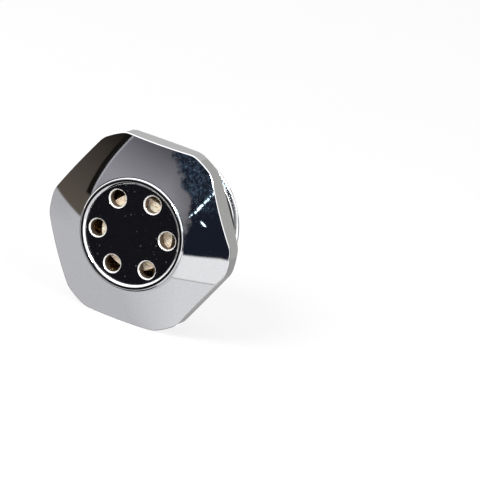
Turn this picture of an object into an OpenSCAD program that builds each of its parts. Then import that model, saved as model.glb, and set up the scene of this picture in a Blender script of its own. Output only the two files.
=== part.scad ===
// Automatic air vent plug for a radiator. A domed hexagonal head stands over a parallel pipe
// thread. The chamber inside holds a stack of fibre discs. Dry, they let air past. When water
// reaches them they swell and push a small sprung valve shut over the pinhole in the end face.
// Inside the modules every piece is turned about Z with the face up and the sealing plane at Z = 0.
// laid() then turns it to its real place: the face looks to -Y and the thread points to +Y.

/* [Head] */
// Width of the hexagonal head across its flats
hex_af = 40; // [39.5:0.1:42.5]
// Diameter that the six corners are turned down to
corner_d = 43.2; // [42.8:0.1:45]
// Height of the head at a corner, from the sealing plane to the edge of the dome
corner_h = 4.25; // [3.9:0.05:6]
// Radius of the spherical dome that the front face is turned to
dome_r = 46; // [40:1:80]
// Height of the shallow chamfer that breaks the back of the corners
back_chamfer_h = 0.3; // [0.1:0.05:0.8]
// Width of the flat back that the chamfer leaves beyond the middle of a flat
back_land = 0.2; // [0.1:0.05:0.5]

/* [Spigot] */
// Outside diameter of the parallel pipe thread
thread_d = 33.249; // [32:0.1:34]
// Length of the spigot from the sealing plane to the end face
spigot_len = 13.2; // [12.8:0.1:20]
// Depth of the undercut between the thread and the head, below the outside of the thread
relief_depth = 1.62; // [1.5:0.02:2.4]
// Height of the lead-in chamfer at the end of the thread
end_chamfer_h = 1.5; // [0.8:0.1:2]
// Width of the lead-in chamfer, measured along the radius
end_chamfer_w = 1.9; // [0.8:0.1:2.2]

/* [Thread seal] */
// Thickness of the ring that seals against the back of the head
seal_section = 3.5; // [3:0.1:3.9]
// How far the bore of that ring lies inside the outside of the thread
seal_grip = 0.72; // [0.5:0.02:0.82]
// Room between the ring and the start of the thread
seal_room = 0.1; // [0.05:0.05:0.3]

/* [Bezel ring] */
// Width of the ledge that the bezel ring stands on, around the chamber
bezel_ledge = 1.3; // [1.15:0.05:1.8]
// Width of the rounded bead that shows around the black face
bead_w = 1.35; // [1.1:0.05:1.45]
// Height of the bead above the black face
bead_rise = 0.75; // [0.5:0.05:1]
// Radius of the outer edge of the bead
bead_outer_round = 0.5; // [0.3:0.05:0.55]
// Radius of the inner edge of the bead
bead_inner_round = 0.3; // [0.1:0.05:0.35]
// Width of the bevel that runs down from the bead towards the black face
bevel_w = 0.35; // [0.2:0.05:0.4]
// Slope of that bevel, in degrees
bevel_slope = 48; // [35:1:52]
// Wall of the sleeve below the bead, outside the flange that it clamps
sleeve_wall = 0.73; // [0.5:0.02:0.9]

/* [Face plate] */
// Depth of the black face below the edge of the dome
face_drop = 0.33; // [0.1:0.05:0.6]
// Thickness of the plate
plate_t = 2; // [1.7:0.1:2.3]
// Thickness of the flange that the bezel ring clamps
plate_flange_t = 0.95; // [0.6:0.05:1.2]
// Diameter of a vent hole
vent_d = 4.1; // [3:0.1:4.3]
// Width of the black rim left between the vent holes and the bead
vent_rim = 0.65; // [0.5:0.05:1.8]
// Number of vent holes
vent_count = 6; // [3:1:8]
// Angle of the first hole past a corner of the head
vent_turn = 8.75; // [0:0.25:60]
// Width of the bright chamfer around a vent hole
vent_chamfer = 0.2; // [0.05:0.05:0.3]

/* [Fibre discs] */
// Number of swelling discs
disc_count = 8; // [5:1:8]
// Thickness of one dry disc
disc_t = 0.8; // [0.6:0.05:0.8]
// Diameter of a disc
disc_d = 16.6; // [16:0.1:17]
// Diameter of the hole through a disc
disc_hole_d = 6; // [5.8:0.1:8]
// Gap between the face plate and the first disc
stack_gap = 0.3; // [0.1:0.05:0.4]

/* [Valve] */
// Travel from fully open to shut on the seat
travel = 1; // [0.5:0.05:1]
// Diameter of the stem
stem_d = 3; // [2.4:0.1:3.2]
// Diameter of the collar that carries the pressure plate
collar_d = 4.8; // [4.2:0.1:5.2]
// Thickness of the collar
collar_t = 0.7; // [0.4:0.05:0.8]
// How far the pressure plate stays inside the edge of the discs
press_inset = 0.35; // [0.15:0.05:0.9]
// Thickness of the pressure plate
press_t = 0.8; // [0.5:0.05:0.8]
// Number of air holes in the pressure plate
press_hole_count = 6; // [3:1:8]
// Diameter of an air hole in the pressure plate
press_hole_d = 1.8; // [1.2:0.1:2.4]
// Diameter of the circle that those air holes lie on
press_pcd = 11; // [9.5:0.1:12]
// Outside diameter of the retaining clip
clip_d = 5.2; // [4.4:0.1:5.4]
// Thickness of the retaining clip
clip_t = 0.4; // [0.3:0.05:0.5]
// Depth of the groove that the clip snaps into
clip_groove = 0.2; // [0.1:0.05:0.3]
// Width of the split in the clip
clip_split = 1.6; // [1:0.1:2]
// Length of stem above the clip
stem_tip = 0.6; // [0.4:0.05:1]
// Chamfer at the tip of the stem
stem_chamfer = 0.2; // [0.1:0.05:0.4]
// Wall of the valve head around the rubber pad
valve_head_wall = 0.48; // [0.35:0.01:0.9]
// Height of the valve head
valve_head_t = 1.6; // [1.3:0.1:1.7]
// Chamfer at the back of the valve head
valve_head_chamfer = 0.3; // [0.1:0.05:0.4]
// Depth that the stem is pressed into the valve head short of the pad
stem_stop = 0.3; // [0.2:0.05:0.5]
// Diameter of the rubber pad
pad_d = 3.8; // [3.4:0.1:4]
// Thickness of the rubber pad
pad_t = 0.8; // [0.7:0.05:0.9]
// Depth of the recess that holds the pad
pad_recess = 0.5; // [0.3:0.05:0.6]

/* [Chamber] */
// Width of the ledge that the cup stands on, around the lower chamber
cup_ledge = 2.35; // [1.5:0.05:3]
// Diameter of the pinhole through the end face
pinhole_d = 2.1; // [1.2:0.1:2.2]
// Height of the raised seat around the pinhole
seat_h = 0.58; // [0.3:0.02:0.8]
// Width of the flat land on top of the seat
seat_land = 0.5; // [0.3:0.05:0.6]

/* [Cartridge cup] */
// Number of ribs that centre the discs in the cup
rib_count = 6; // [3:1:8]
// Depth of a rib, which is the width of the air space between the discs and the wall of the cup
rib_depth = 1.85; // [1.6:0.05:1.9]
// Width of a rib
rib_w = 1; // [0.6:0.1:1.6]
// Wall of the cup around the discs
cup_wall = 0.5; // [0.4:0.05:0.5]
// Thickness of the floor of the cup
cup_floor_t = 1; // [0.7:0.05:1.1]
// Wall of the cup behind the groove of its seal
groove_wall = 1.25; // [1.1:0.05:1.8]
// Wall of the hub that guides the stem
hub_wall = 1.35; // [0.9:0.05:1.4]
// Extra room between the collar and the top of the hub when the valve is shut
hub_drop = 0.2; // [0:0.05:0.5]
// Number of air windows in the floor of the cup
window_count = 6; // [3:1:8]
// Diameter of an air window
window_d = 2.4; // [1.5:0.1:2.6]
// Diameter of the circle that the windows lie on
window_pcd = 12; // [11:0.1:12.4]
// Thickness of the ring that seals the cup in the chamber
cup_seal_section = 1.36; // [1.2:0.02:1.4]
// Height of that ring above the floor of the cup
cup_seal_up = 1.5; // [1:0.05:1.7]
// Room left beside that ring in its groove, both sides together
groove_room = 0.24; // [0.1:0.02:0.4]
// Thickness of the gauze under the cup
gauze_t = 0.2; // [0.1:0.05:0.3]
// Gap between the gauze and the stem
gauze_gap = 0.4; // [0.2:0.05:1]

/* [Return spring] */
// Wire of the return spring
wire_d = 0.5; // [0.3:0.05:0.5]
// Gap between the coils and the hub inside them
coil_gap = 0.35; // [0.25:0.05:0.8]
// Number of turns, with the closed turn at each end
coil_turns = 6; // [4:0.5:6]
// Length of the spring as fitted, with the valve open
spring_len = 4.5; // [4.3:0.1:4.9]

/* [Fits] */
// Radial clearance of a ring pressed or seated in a bore
seat_fit = 0.02; // [0.01:0.005:0.03]
// Radial running clearance of the stem in its guide
stem_fit = 0.05; // [0.02:0.01:0.08]
// Clearance of the cup in the chamber, measured along the radius
cup_fit = 0.1; // [0.05:0.01:0.12]
// Clearance of the discs between the ribs of the cup, measured along the radius
disc_fit = 0.2; // [0.1:0.05:0.4]
// Gap that keeps one moving face clear of another at rest
rest_gap = 0.05; // [0.02:0.01:0.1]
// Room left beyond the end of a movement
end_room = 0.3; // [0.2:0.05:0.4]

/* [Hidden] */
$fn = 96;

// Tools cut this far past a face, so that no skin is left
past = 1;

// Radii from the discs outward: the ribs and the wall of the cup around them, the chamber around
// the cup, and the bezel ring that stands on the ledge around the chamber
disc_r = disc_d / 2;
rib_r = disc_r + disc_fit;
cup_bore_r = rib_r + rib_depth;
cup_r = cup_bore_r + cup_wall;
chamber_r = cup_r + cup_fit;
bezel_r = chamber_r + bezel_ledge;
counterbore_r = bezel_r + seat_fit;
lip_r = bezel_r - bead_w;
clamp_r = bezel_r - sleeve_wall;
plate_flange_r = clamp_r - seat_fit;
vent_pcd = 2 * (lip_r - vent_rim) - vent_d;

// Radii from the discs inward: the pressure plate, and the lower chamber under the cup
press_r = disc_r - press_inset;
cup_seal_groove_r = chamber_r - cup_seal_section - 2 * seat_fit;
cup_lower_r = cup_seal_groove_r - groove_wall;
lower_r = cup_r - cup_ledge;

// Radii from the stem outward
stem_r = stem_d / 2;
guide_r = stem_r + stem_fit;
hub_r = guide_r + hub_wall;
coil_r = hub_r + coil_gap + wire_d / 2;
pinhole_r = pinhole_d / 2;
seat_land_r = pinhole_r + seat_land;
pad_r = pad_d / 2;
pad_seat_r = pad_r + seat_fit;
valve_head_r = pad_seat_r + valve_head_wall;

// Head and spigot
corner_r = corner_d / 2;
dome_centre_z = corner_h - sqrt(dome_r * dome_r - corner_r * corner_r);
back_land_r = hex_af / 2 + back_land;
head_top_z = dome_centre_z + dome_r + past;
thread_r = thread_d / 2;
relief_r = thread_r - relief_depth;
relief_len = seal_section + seal_room;
seal_mean_r = thread_r - seal_grip + seal_section / 2;

// Face: the black plate lies a little below the edge of the dome
dome_edge_z = dome_z(bezel_r);
face_z = dome_edge_z - face_drop;
plate_back_z = face_z - plate_t;
bead_top_z = face_z + bead_rise;

// Stack of discs, and the pressure plate behind it
stack_top_z = plate_back_z - stack_gap;
stack_base_z = stack_top_z - disc_count * disc_t;
press_top_z = stack_base_z - rest_gap;
press_base_z = press_top_z - press_t;
collar_base_z = press_base_z - collar_t;
clip_top_z = press_top_z + clip_t;
stem_top_z = clip_top_z + stem_tip;

// Cup and gauze
cup_floor_z = press_base_z - spring_len;
cup_base_z = cup_floor_z - cup_floor_t;
cup_step_z = press_base_z - travel - end_room;
hub_top_z = collar_base_z - travel - end_room - hub_drop;
ledge_z = cup_base_z - gauze_t;
cup_seal_z = cup_floor_z + cup_seal_up;
cup_seal_groove_h = cup_seal_section + groove_room;

// Valve head, pad and seat
valve_head_top_z = ledge_z - end_room;
valve_head_base_z = valve_head_top_z - valve_head_t;
pad_top_z = valve_head_base_z + pad_recess;
pad_base_z = pad_top_z - pad_t;
stem_base_z = pad_top_z + stem_stop;
seat_z = pad_base_z - travel - seat_fit;
chamber_floor_z = seat_z - seat_h;

function disc_name(i) = str("fibre_disc_", i);
function dome_z(r) = dome_centre_z + sqrt(dome_r * dome_r - r * r);

// Points of an arc in a turned profile, in equal steps
function arc(centre, r, from, to, steps) = [
    for (i = [0:steps])
        let (a = from + (to - from) * i / steps)
        centre + r * [cos(a), sin(a)]
];

// Turns a piece from its own upright frame to its place in the valve
module laid() {
    rotate([90, 0, 0]) children();
}

// A ring or disc standing on z, with an optional bore
module washer(r, h, z, bore_r = 0) {
    translate([0, 0, z]) difference() {
        cylinder(r = r, h = h);
        if (bore_r > 0) translate([0, 0, -past]) cylinder(r = bore_r, h = h + 2 * past);
    }
}

// A circle of equal round holes, as solids to be cut away
module hole_ring(count, pcd, d, z, h, turn = 0) {
    for (i = [0:count - 1])
        rotate(turn + i * 360 / count)
            translate([pcd / 2, 0, z])
                cylinder(d = d, h = h);
}

// A rubber ring of round section
module round_ring(mean_r, section, z) {
    translate([0, 0, z])
        rotate_extrude()
            translate([mean_r, 0]) circle(d = section, $fn = 48);
}

// Hexagon with its corners turned round, its front turned to a dome and its back chamfered
module head_blank() {
    intersection() {
        cylinder(r = hex_af / 2 / cos(30), h = head_top_z, $fn = 6);
        rotate_extrude() polygon([
            [0, 0],
            [back_land_r, 0],
            [corner_r, back_chamfer_h],
            [corner_r, head_top_z],
            [0, head_top_z],
        ]);
        translate([0, 0, dome_centre_z]) sphere(r = dome_r);
    }
}

// Spigot at the thread's outside diameter, with its undercut and lead-in chamfer
module spigot() {
    rotate_extrude() polygon([
        [0, back_chamfer_h],
        [relief_r, back_chamfer_h],
        [relief_r, -relief_len],
        [thread_r, -relief_len],
        [thread_r, -spigot_len + end_chamfer_h],
        [thread_r - end_chamfer_w, -spigot_len],
        [0, -spigot_len],
    ]);
}

// Everything bored out from the front: the counterbore for the bezel ring, the chamber with the
// ledge that the cup stands on, and the lower chamber with the raised seat left in its floor
module chamber() {
    rotate_extrude() polygon([
        [0, head_top_z],
        [counterbore_r, head_top_z],
        [counterbore_r, plate_back_z],
        [chamber_r, plate_back_z],
        [chamber_r, ledge_z],
        [lower_r, ledge_z],
        [lower_r, chamber_floor_z],
        [seat_land_r + seat_h, chamber_floor_z],
        [seat_land_r, seat_z],
        [0, seat_z],
    ]);
}

module plug_body() {
    color("gainsboro") laid() difference() {
        union() {
            head_blank();
            spigot();
        }
        chamber();
        translate([0, 0, -spigot_len - past])
            cylinder(r = pinhole_r, h = spigot_len + seat_z + 2 * past);
    }
}

module thread_seal() {
    color("#1a1a1a") laid()
        round_ring(seal_mean_r, seal_section, -seal_section / 2);
}

// Sleeve in the counterbore, lip over the plate's flange, and the bead that shows. The bead is
// round outside and has a bevel inside.
module bezel_ring() {
    outer_centre = [bezel_r - bead_outer_round, bead_top_z - bead_outer_round];
    inner_centre = [
        lip_r + bevel_w + bead_inner_round * sin(bevel_slope),
        bead_top_z - bead_inner_round,
    ];
    inner_edge = arc(inner_centre, bead_inner_round, 90, 90 + bevel_slope, 5);
    bevel_foot_z = inner_edge[5].y - bevel_w * tan(bevel_slope);
    color("silver") laid() rotate_extrude() polygon(concat(
        [[clamp_r, plate_back_z], [bezel_r, plate_back_z]],
        arc(outer_centre, bead_outer_round, 0, 90, 8),
        inner_edge,
        [
            [lip_r, bevel_foot_z],
            [lip_r, plate_back_z + plate_flange_t],
            [clamp_r, plate_back_z + plate_flange_t],
        ]
    ));
}

// Plate with a black front, drilled with the vent holes that the discs show through
module face_plate() {
    color("#202022") laid() difference() {
        union() {
            washer(plate_flange_r, plate_flange_t, plate_back_z);
            washer(lip_r - seat_fit, plate_t, plate_back_z);
        }
        hole_ring(vent_count, vent_pcd, vent_d, plate_back_z - past, plate_t + 2 * past, vent_turn);
        for (i = [0:vent_count - 1])
            rotate(vent_turn + i * 360 / vent_count)
                translate([vent_pcd / 2, 0, face_z - vent_chamfer])
                    cylinder(
                        d1 = vent_d,
                        d2 = vent_d + 4 * vent_chamfer,
                        h = 2 * vent_chamfer
                    );
    }
}

// One dry disc of the stack, counted from the front
module fibre_disc(i) {
    color("burlywood") laid()
        washer(disc_r, disc_t, stack_top_z - i * disc_t, disc_hole_d / 2);
}

module pressure_plate() {
    color("goldenrod") laid() difference() {
        washer(press_r, press_t, press_base_z, stem_r + seat_fit);
        hole_ring(press_hole_count, press_pcd, press_hole_d, press_base_z - past, press_t + 2 * past);
    }
}

// Stem with its clip groove, the collar under the pressure plate and the end in the valve head
module valve_stem() {
    color("goldenrod") laid() rotate_extrude() polygon([
        [0, stem_top_z],
        [stem_r - stem_chamfer, stem_top_z],
        [stem_r, stem_top_z - stem_chamfer],
        [stem_r, clip_top_z + seat_fit],
        [stem_r - clip_groove, clip_top_z + seat_fit],
        [stem_r - clip_groove, press_top_z],
        [stem_r, press_top_z],
        [stem_r, press_base_z],
        [collar_d / 2, press_base_z],
        [collar_d / 2, collar_base_z],
        [stem_r, collar_base_z],
        [stem_r, stem_base_z],
        [0, stem_base_z],
    ]);
}

// Split spring clip that holds the pressure plate down on the collar
module stem_clip() {
    color("slategray") laid() difference() {
        washer(clip_d / 2, clip_t, press_top_z, stem_r - clip_groove + seat_fit);
        translate([0, -clip_split / 2, press_top_z - past])
            cube([clip_d, clip_split, clip_t + 2 * past]);
    }
}

// Small brass cup pressed on the stem, with the recess that holds the pad
module valve_head() {
    color("goldenrod") laid() rotate_extrude() polygon([
        [stem_r + seat_fit, valve_head_top_z],
        [valve_head_r - valve_head_chamfer, valve_head_top_z],
        [valve_head_r, valve_head_top_z - valve_head_chamfer],
        [valve_head_r, valve_head_base_z],
        [pad_seat_r, valve_head_base_z],
        [pad_seat_r, pad_top_z],
        [0, pad_top_z],
        [0, stem_base_z],
        [stem_r + seat_fit, stem_base_z],
    ]);
}

module seat_pad() {
    color("#2a2a2a") laid() washer(pad_r, pad_t, pad_base_z);
}

// Ribs inside the cup, between the vent holes. They centre the discs and let the air past. They
// are rooted half the wall deep in the cup and end level with the first disc.
module cup_ribs() {
    root_z = cup_step_z - cup_wall / 2;
    for (i = [0:rib_count - 1])
        rotate(vent_turn + (i + 0.5) * 360 / rib_count)
            translate([rib_r, -rib_w / 2, root_z])
                cube([rib_depth + cup_wall / 2, rib_w, stack_top_z - root_z]);
}

// Cup clamped between the gauze and the face plate: a thin wall with ribs around the discs, a
// thicker one with the seal groove around the spring, and a floor with air windows and the
// stem's guide hub
module cartridge_cup() {
    color("goldenrod") laid() difference() {
        union() {
            cup_ribs();
            rotate_extrude() polygon([
                [guide_r, cup_base_z],
                [cup_r, cup_base_z],
                [cup_r, cup_seal_z - cup_seal_groove_h / 2],
                [cup_seal_groove_r, cup_seal_z - cup_seal_groove_h / 2],
                [cup_seal_groove_r, cup_seal_z + cup_seal_groove_h / 2],
                [cup_r, cup_seal_z + cup_seal_groove_h / 2],
                [cup_r, plate_back_z],
                [cup_bore_r, plate_back_z],
                [cup_bore_r, cup_step_z],
                [cup_lower_r, cup_step_z],
                [cup_lower_r, cup_floor_z],
                [hub_r, cup_floor_z],
                [hub_r, hub_top_z],
                [guide_r, hub_top_z],
            ]);
        }
        hole_ring(window_count, window_pcd, window_d, cup_base_z - past, cup_floor_t + 2 * past);
    }
}

module cartridge_seal() {
    color("#1a1a1a") laid()
        round_ring(chamber_r - seat_fit - cup_seal_section / 2, cup_seal_section, cup_seal_z);
}

module filter_gauze() {
    color("lightgray") laid() washer(cup_r, gauze_t, ledge_z, stem_r + gauze_gap);
}

// Centre line of the spring. The turns at each end lie almost closed, and the pitch of the rest
// follows from the length that is left.
coil_steps = 20;
coil_sides = 8;
coil_rest = wire_d / 2 + seat_fit;
closed_pitch = wire_d * 1.1;
closed_turns = 0.75;
coil_rise = spring_len - 2 * coil_rest;
open_pitch = (coil_rise - 2 * closed_turns * closed_pitch) / (coil_turns - 2 * closed_turns);

function coil_height(t) =
    t < closed_turns ? t * closed_pitch
    : t > coil_turns - closed_turns ? coil_rise - (coil_turns - t) * closed_pitch
    : closed_turns * closed_pitch + (t - closed_turns) * open_pitch;

function coil_point(t, side) =
    let (around = 360 * side / coil_sides)
    let (r = coil_r + wire_d / 2 * cos(around))
    [r * cos(360 * t), r * sin(360 * t), coil_height(t) + wire_d / 2 * sin(around)];

module return_spring() {
    rings = coil_turns * coil_steps;
    points = [
        for (ring = [0:rings])
            for (side = [0:coil_sides - 1])
                coil_point(ring / coil_steps, side)
    ];
    walls = [
        for (ring = [0:rings - 1])
            for (side = [0:coil_sides - 1])
                let (next = (side + 1) % coil_sides)
                let (a = ring * coil_sides)
                let (b = a + coil_sides)
                [a + side, b + side, b + next, a + next]
    ];
    first_cap = [for (side = [0:coil_sides - 1]) side];
    last_cap = [for (side = [coil_sides - 1:-1:0]) rings * coil_sides + side];
    color("slategray") laid()
        translate([0, 0, cup_floor_z + coil_rest])
            polyhedron(points, concat([first_cap], walls, [last_cap]), convexity = 8);
}

plug_body();
thread_seal();
bezel_ring();
face_plate();
for (i = [1:disc_count])
    fibre_disc(i);
pressure_plate();
valve_stem();
stem_clip();
valve_head();
seat_pad();
return_spring();
cartridge_cup();
cartridge_seal();
filter_gauze();
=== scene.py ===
# %% [markdown]
# An automatic air vent plug for a radiator, in Blender.
# The plug is a chromed brass hexagon with a domed face. A black plate with six vent holes sits in the
# dome inside a polished bezel ring. Behind the head is a rubber ring seal and a 1 inch pipe thread.
# Inside, a stack of fibre discs swells when water reaches it and pushes a small valve shut.
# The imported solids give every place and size. This script gives the finish: rounded edges, the real
# thread, woven gauze, wound spring and a material for each surface.

# %% The frame
import math

import bmesh
import bpy
import numpy as np
from mathutils import Matrix, Vector


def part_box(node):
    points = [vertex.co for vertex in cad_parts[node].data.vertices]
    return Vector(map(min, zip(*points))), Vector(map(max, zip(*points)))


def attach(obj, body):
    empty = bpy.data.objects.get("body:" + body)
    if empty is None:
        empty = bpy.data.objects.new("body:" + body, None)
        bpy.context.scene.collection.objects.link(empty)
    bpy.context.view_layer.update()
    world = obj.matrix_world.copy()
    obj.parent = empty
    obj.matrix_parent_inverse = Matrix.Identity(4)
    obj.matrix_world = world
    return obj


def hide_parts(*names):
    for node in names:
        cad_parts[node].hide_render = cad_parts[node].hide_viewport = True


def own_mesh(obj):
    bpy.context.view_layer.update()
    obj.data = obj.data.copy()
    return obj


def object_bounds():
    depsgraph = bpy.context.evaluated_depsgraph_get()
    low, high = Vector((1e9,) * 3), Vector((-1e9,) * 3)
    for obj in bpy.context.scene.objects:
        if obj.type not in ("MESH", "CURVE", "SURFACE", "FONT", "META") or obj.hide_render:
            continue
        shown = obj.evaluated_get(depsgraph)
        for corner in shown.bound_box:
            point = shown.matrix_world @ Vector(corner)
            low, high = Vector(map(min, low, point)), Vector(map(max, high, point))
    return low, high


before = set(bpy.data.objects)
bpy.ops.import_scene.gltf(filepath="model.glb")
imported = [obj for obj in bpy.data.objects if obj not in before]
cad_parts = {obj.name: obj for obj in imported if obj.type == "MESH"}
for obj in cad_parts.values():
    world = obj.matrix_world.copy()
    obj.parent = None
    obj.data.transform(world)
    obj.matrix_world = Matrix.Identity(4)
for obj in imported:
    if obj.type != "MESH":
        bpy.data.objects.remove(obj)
cad_low, cad_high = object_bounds()
print("box of the solids, mm:", [round(1000 * v, 3) for v in (*cad_low, *cad_high)])

# %% [markdown]
# The pieces are turned on a lathe, so they are easiest to think of on a bench: the axis stands upright
# along Z, the face is up, and the plane that seals against the radiator is Z = 0. Sizes on the bench
# are in millimetres. One matrix then lays a finished piece down in its real place, where the face
# looks to -Y and the thread points to +Y.

# %% From the bench to the frame
MM = 0.001
LAID = Matrix.Rotation(math.radians(90), 4, "X") @ Matrix.Scale(MM, 4)


def span(node):
    """Lowest and highest bench height of a node, and its outer radius, in millimetres."""
    low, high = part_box(node)
    return -high.y / MM, -low.y / MM, max(high.x, high.z) / MM


for name in ("plug_body", "bezel_ring", "face_plate"):
    print(name, "from, to, radius:", [round(v, 3) for v in span(name)])

# %% [markdown]
# Every mesh here is a grid: rows of points that follow the profile, and columns that go round the
# axis. Neighbouring points are joined by four-sided faces. Where a row shrinks to a point, or two
# rows meet, the doubled points are merged, so seams and poles are closed. The sign of the volume
# shows whether the faces look outwards, and they are turned round if they don't. Faces that lie
# square to the axis are kept truly flat in the shading, by a sharp border.

# %% A closed mesh from a grid of points
# edges sharper than this stay sharp, and a face whose normal is this upright counts as flat
SHARP = math.radians(32)
UPRIGHT = 0.9999995
# points closer than this are one point, in millimetres
MERGE = 0.0002


def grid_mesh(name, rows, ring=True, seam=None, strip_material=None):
    """rows: array of rows x columns x 3 on the bench. ring: the last row joins the first.
    seam: for each row, the row that it meets where the columns close. A thread needs that."""
    count, columns = rows.shape[:2]
    seam = list(range(count)) if seam is None else seam
    faces, materials = [], []
    for i in range(count if ring else count - 1):
        k = (i + 1) % count
        for j in range(columns):
            last = j == columns - 1
            a, b = i * columns + j, k * columns + j
            c = (seam[k] if last else k) * columns + (j + 1) % columns
            d = (seam[i] if last else i) * columns + (j + 1) % columns
            faces.append((a, b, c, d))
            materials.append(strip_material[i] if strip_material else 0)
    mesh = bpy.data.meshes.new(name)
    mesh.from_pydata([tuple(p) for p in rows.reshape(-1, 3)], [], faces)
    mesh.polygons.foreach_set("material_index", materials)
    return close_mesh(mesh)


def close_mesh(mesh):
    """Merges doubled points, turns the faces outwards and sets smooth shading with sharp edges."""
    bm = bmesh.new()
    bm.from_mesh(mesh)
    bmesh.ops.remove_doubles(bm, verts=bm.verts, dist=MERGE)
    bmesh.ops.dissolve_degenerate(bm, edges=bm.edges, dist=MERGE / 2)
    bmesh.ops.delete(bm, geom=[e for e in bm.edges if not e.link_faces], context="EDGES")
    bmesh.ops.delete(bm, geom=[v for v in bm.verts if not v.link_faces], context="VERTS")
    bmesh.ops.holes_fill(bm, edges=[e for e in bm.edges if e.is_boundary], sides=4)
    if bm.calc_volume(signed=True) < 0:
        bmesh.ops.reverse_faces(bm, faces=bm.faces)
    bm.to_mesh(mesh)
    bm.free()
    for face in mesh.polygons:
        face.use_smooth = True
    mesh.set_sharp_from_angle(angle=SHARP)
    for face in mesh.polygons:
        if abs(face.normal.z) > UPRIGHT:
            for corner in face.loop_indices:
                mesh.edges[mesh.loops[corner].edge_index].use_edge_sharp = True
    return mesh


def on_bench(mesh, name, materials):
    """An object for a bench mesh, still upright and in millimetres."""
    piece = bpy.data.objects.new(name, mesh)
    bpy.context.scene.collection.objects.link(piece)
    for material in materials:
        piece.data.materials.append(material)
    return piece


def lay(piece, body, slot, *nodes):
    """Lays a bench piece in its place, and says what it rides on and stands for. Its slot is not used.
    """
    piece.data.transform(LAID)
    piece.data.update()
    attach(piece, body)
    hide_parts(*nodes)
    triangles = sum(len(f.vertices) - 2 for f in piece.data.polygons)
    print(piece.name, "on", body, "stands for", nodes, "with", triangles, "triangles")
    return piece


# %% [markdown]
# A turned part is drawn as half of its section: points of radius and height. No real edge is a
# perfect corner, and a corner with no rounding catches no light. So each corner of the section
# becomes a short arc, no longer than the edges beside it allow, and then the section is revolved.

# %% Rounded sections and turning
def rounded(section, radius, steps=3):
    """The closed section with an arc at each corner that is off the axis."""
    points = [np.array(p, float) for p in section]
    result = []
    for i, corner in enumerate(points):
        before = points[i - 1] - corner
        after = points[(i + 1) % len(points)] - corner
        reach_before, reach_after = np.linalg.norm(before), np.linalg.norm(after)
        before, after = before / reach_before, after / reach_after
        half = math.acos(np.clip(before @ after, -1, 1)) / 2
        if corner[0] < 1e-6 or half > math.radians(85):
            result.append(corner)
            continue
        cut = min(radius / math.tan(half), 0.42 * reach_before, 0.42 * reach_after)
        bend = cut * math.tan(half)
        middle = (before + after) / np.linalg.norm(before + after)
        centre = corner + middle * bend / math.sin(half)
        start = corner + before * cut - centre
        end = corner + after * cut - centre
        sweep = math.pi - 2 * half
        for k in range(steps + 1):
            t = k / steps
            arm = math.sin((1 - t) * sweep) * start + math.sin(t * sweep) * end
            result.append(centre + arm / math.sin(sweep))
    return result


def revolve(section, columns, start=0.0, turn=2 * math.pi):
    """Rows of points: each point of the section goes once round the axis."""
    angles = start + turn * np.arange(columns) / columns
    return np.array([
        [(r * math.cos(a), r * math.sin(a), z) for a in angles] for r, z in section
    ])


def turned(name, section, materials, radius=0.05, columns=128, steps=3):
    """A piece turned on a lathe, standing on the bench."""
    mesh = grid_mesh(name, revolve(rounded(section, radius, steps), columns))
    return on_bench(mesh, name, materials)


# %% [markdown]
# Materials come next, because Geometry Nodes set them as they build. Each one is a Principled shader
# with a few procedural nodes before it. They read Object coordinates, which are metres in the frame,
# so a pattern keeps its real size: a noise scale of 2000 makes spots half a millimetre apart.
# Numbers that are the same all over go straight on the shader's sockets.

# %% Small helpers for node trees
def add(tree, kind, settings=None, inputs=None):
    """A node with some of its properties and inputs set. An input may be a value or a socket."""
    made = tree.nodes.new(kind)
    for key, value in (settings or {}).items():
        setattr(made, key, value)
    for key, value in (inputs or {}).items():
        if isinstance(value, bpy.types.NodeSocket):
            tree.links.new(value, made.inputs[key])
        else:
            made.inputs[key].default_value = value
    return made


def figure(tree, kind, first, second=0.0, third=0.0):
    """One step of arithmetic on values or sockets, as a Math node does it."""
    inputs = {0: first, 1: second, 2: third}
    return add(tree, "ShaderNodeMath", {"operation": kind}, inputs).outputs[0]


def distance(tree, x, y):
    """How far a point across the axis is from it."""
    across = add(tree, "ShaderNodeCombineXYZ", inputs={"X": x, "Y": y})
    length = add(tree, "ShaderNodeVectorMath", {"operation": "LENGTH"}, {0: across.outputs[0]})
    return length.outputs["Value"]


def blank_material(name, **values):
    """A material with one Principled shader. Returns it, its tree, the shader and the coordinates."""
    material = bpy.data.materials.new(name)
    material.use_nodes = True
    tree = material.node_tree
    shader = tree.nodes["Principled BSDF"]
    for key, value in values.items():
        shader.inputs[key.replace("_", " ")].default_value = value
    place = add(tree, "ShaderNodeTexCoord").outputs["Object"]
    return material, tree, shader, place


def noise(tree, place, scale, detail=3.0, stretch=(1, 1, 1)):
    """Grey noise. stretch makes it longer or shorter along each axis of the frame."""
    at = add(tree, "ShaderNodeMapping", inputs={"Vector": place, "Scale": stretch})
    made = add(tree, "ShaderNodeTexNoise", inputs={
        "Vector": at.outputs["Vector"], "Scale": scale, "Detail": detail, "Roughness": 0.6,
    })
    return made.outputs["Fac"]


def between(tree, value, low, high, from_low=0.0, from_high=1.0):
    """Maps a value to a range, and holds it there."""
    return add(tree, "ShaderNodeMapRange", inputs={
        "Value": value, "From Min": from_low, "From Max": from_high, "To Min": low, "To Max": high,
    }).outputs["Result"]


def mixed(tree, fac, first, second):
    """A colour between two, by fac."""
    made = add(tree, "ShaderNodeMix", {"data_type": "RGBA"})
    for socket, value in (("Factor_Float", fac), ("A_Color", first), ("B_Color", second)):
        target = next(s for s in made.inputs if s.identifier == socket)
        if isinstance(value, bpy.types.NodeSocket):
            tree.links.new(value, target)
        else:
            target.default_value = (*value, 1) if target.type == "RGBA" else value
    return next(s for s in made.outputs if s.identifier == "Result_Color")


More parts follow.
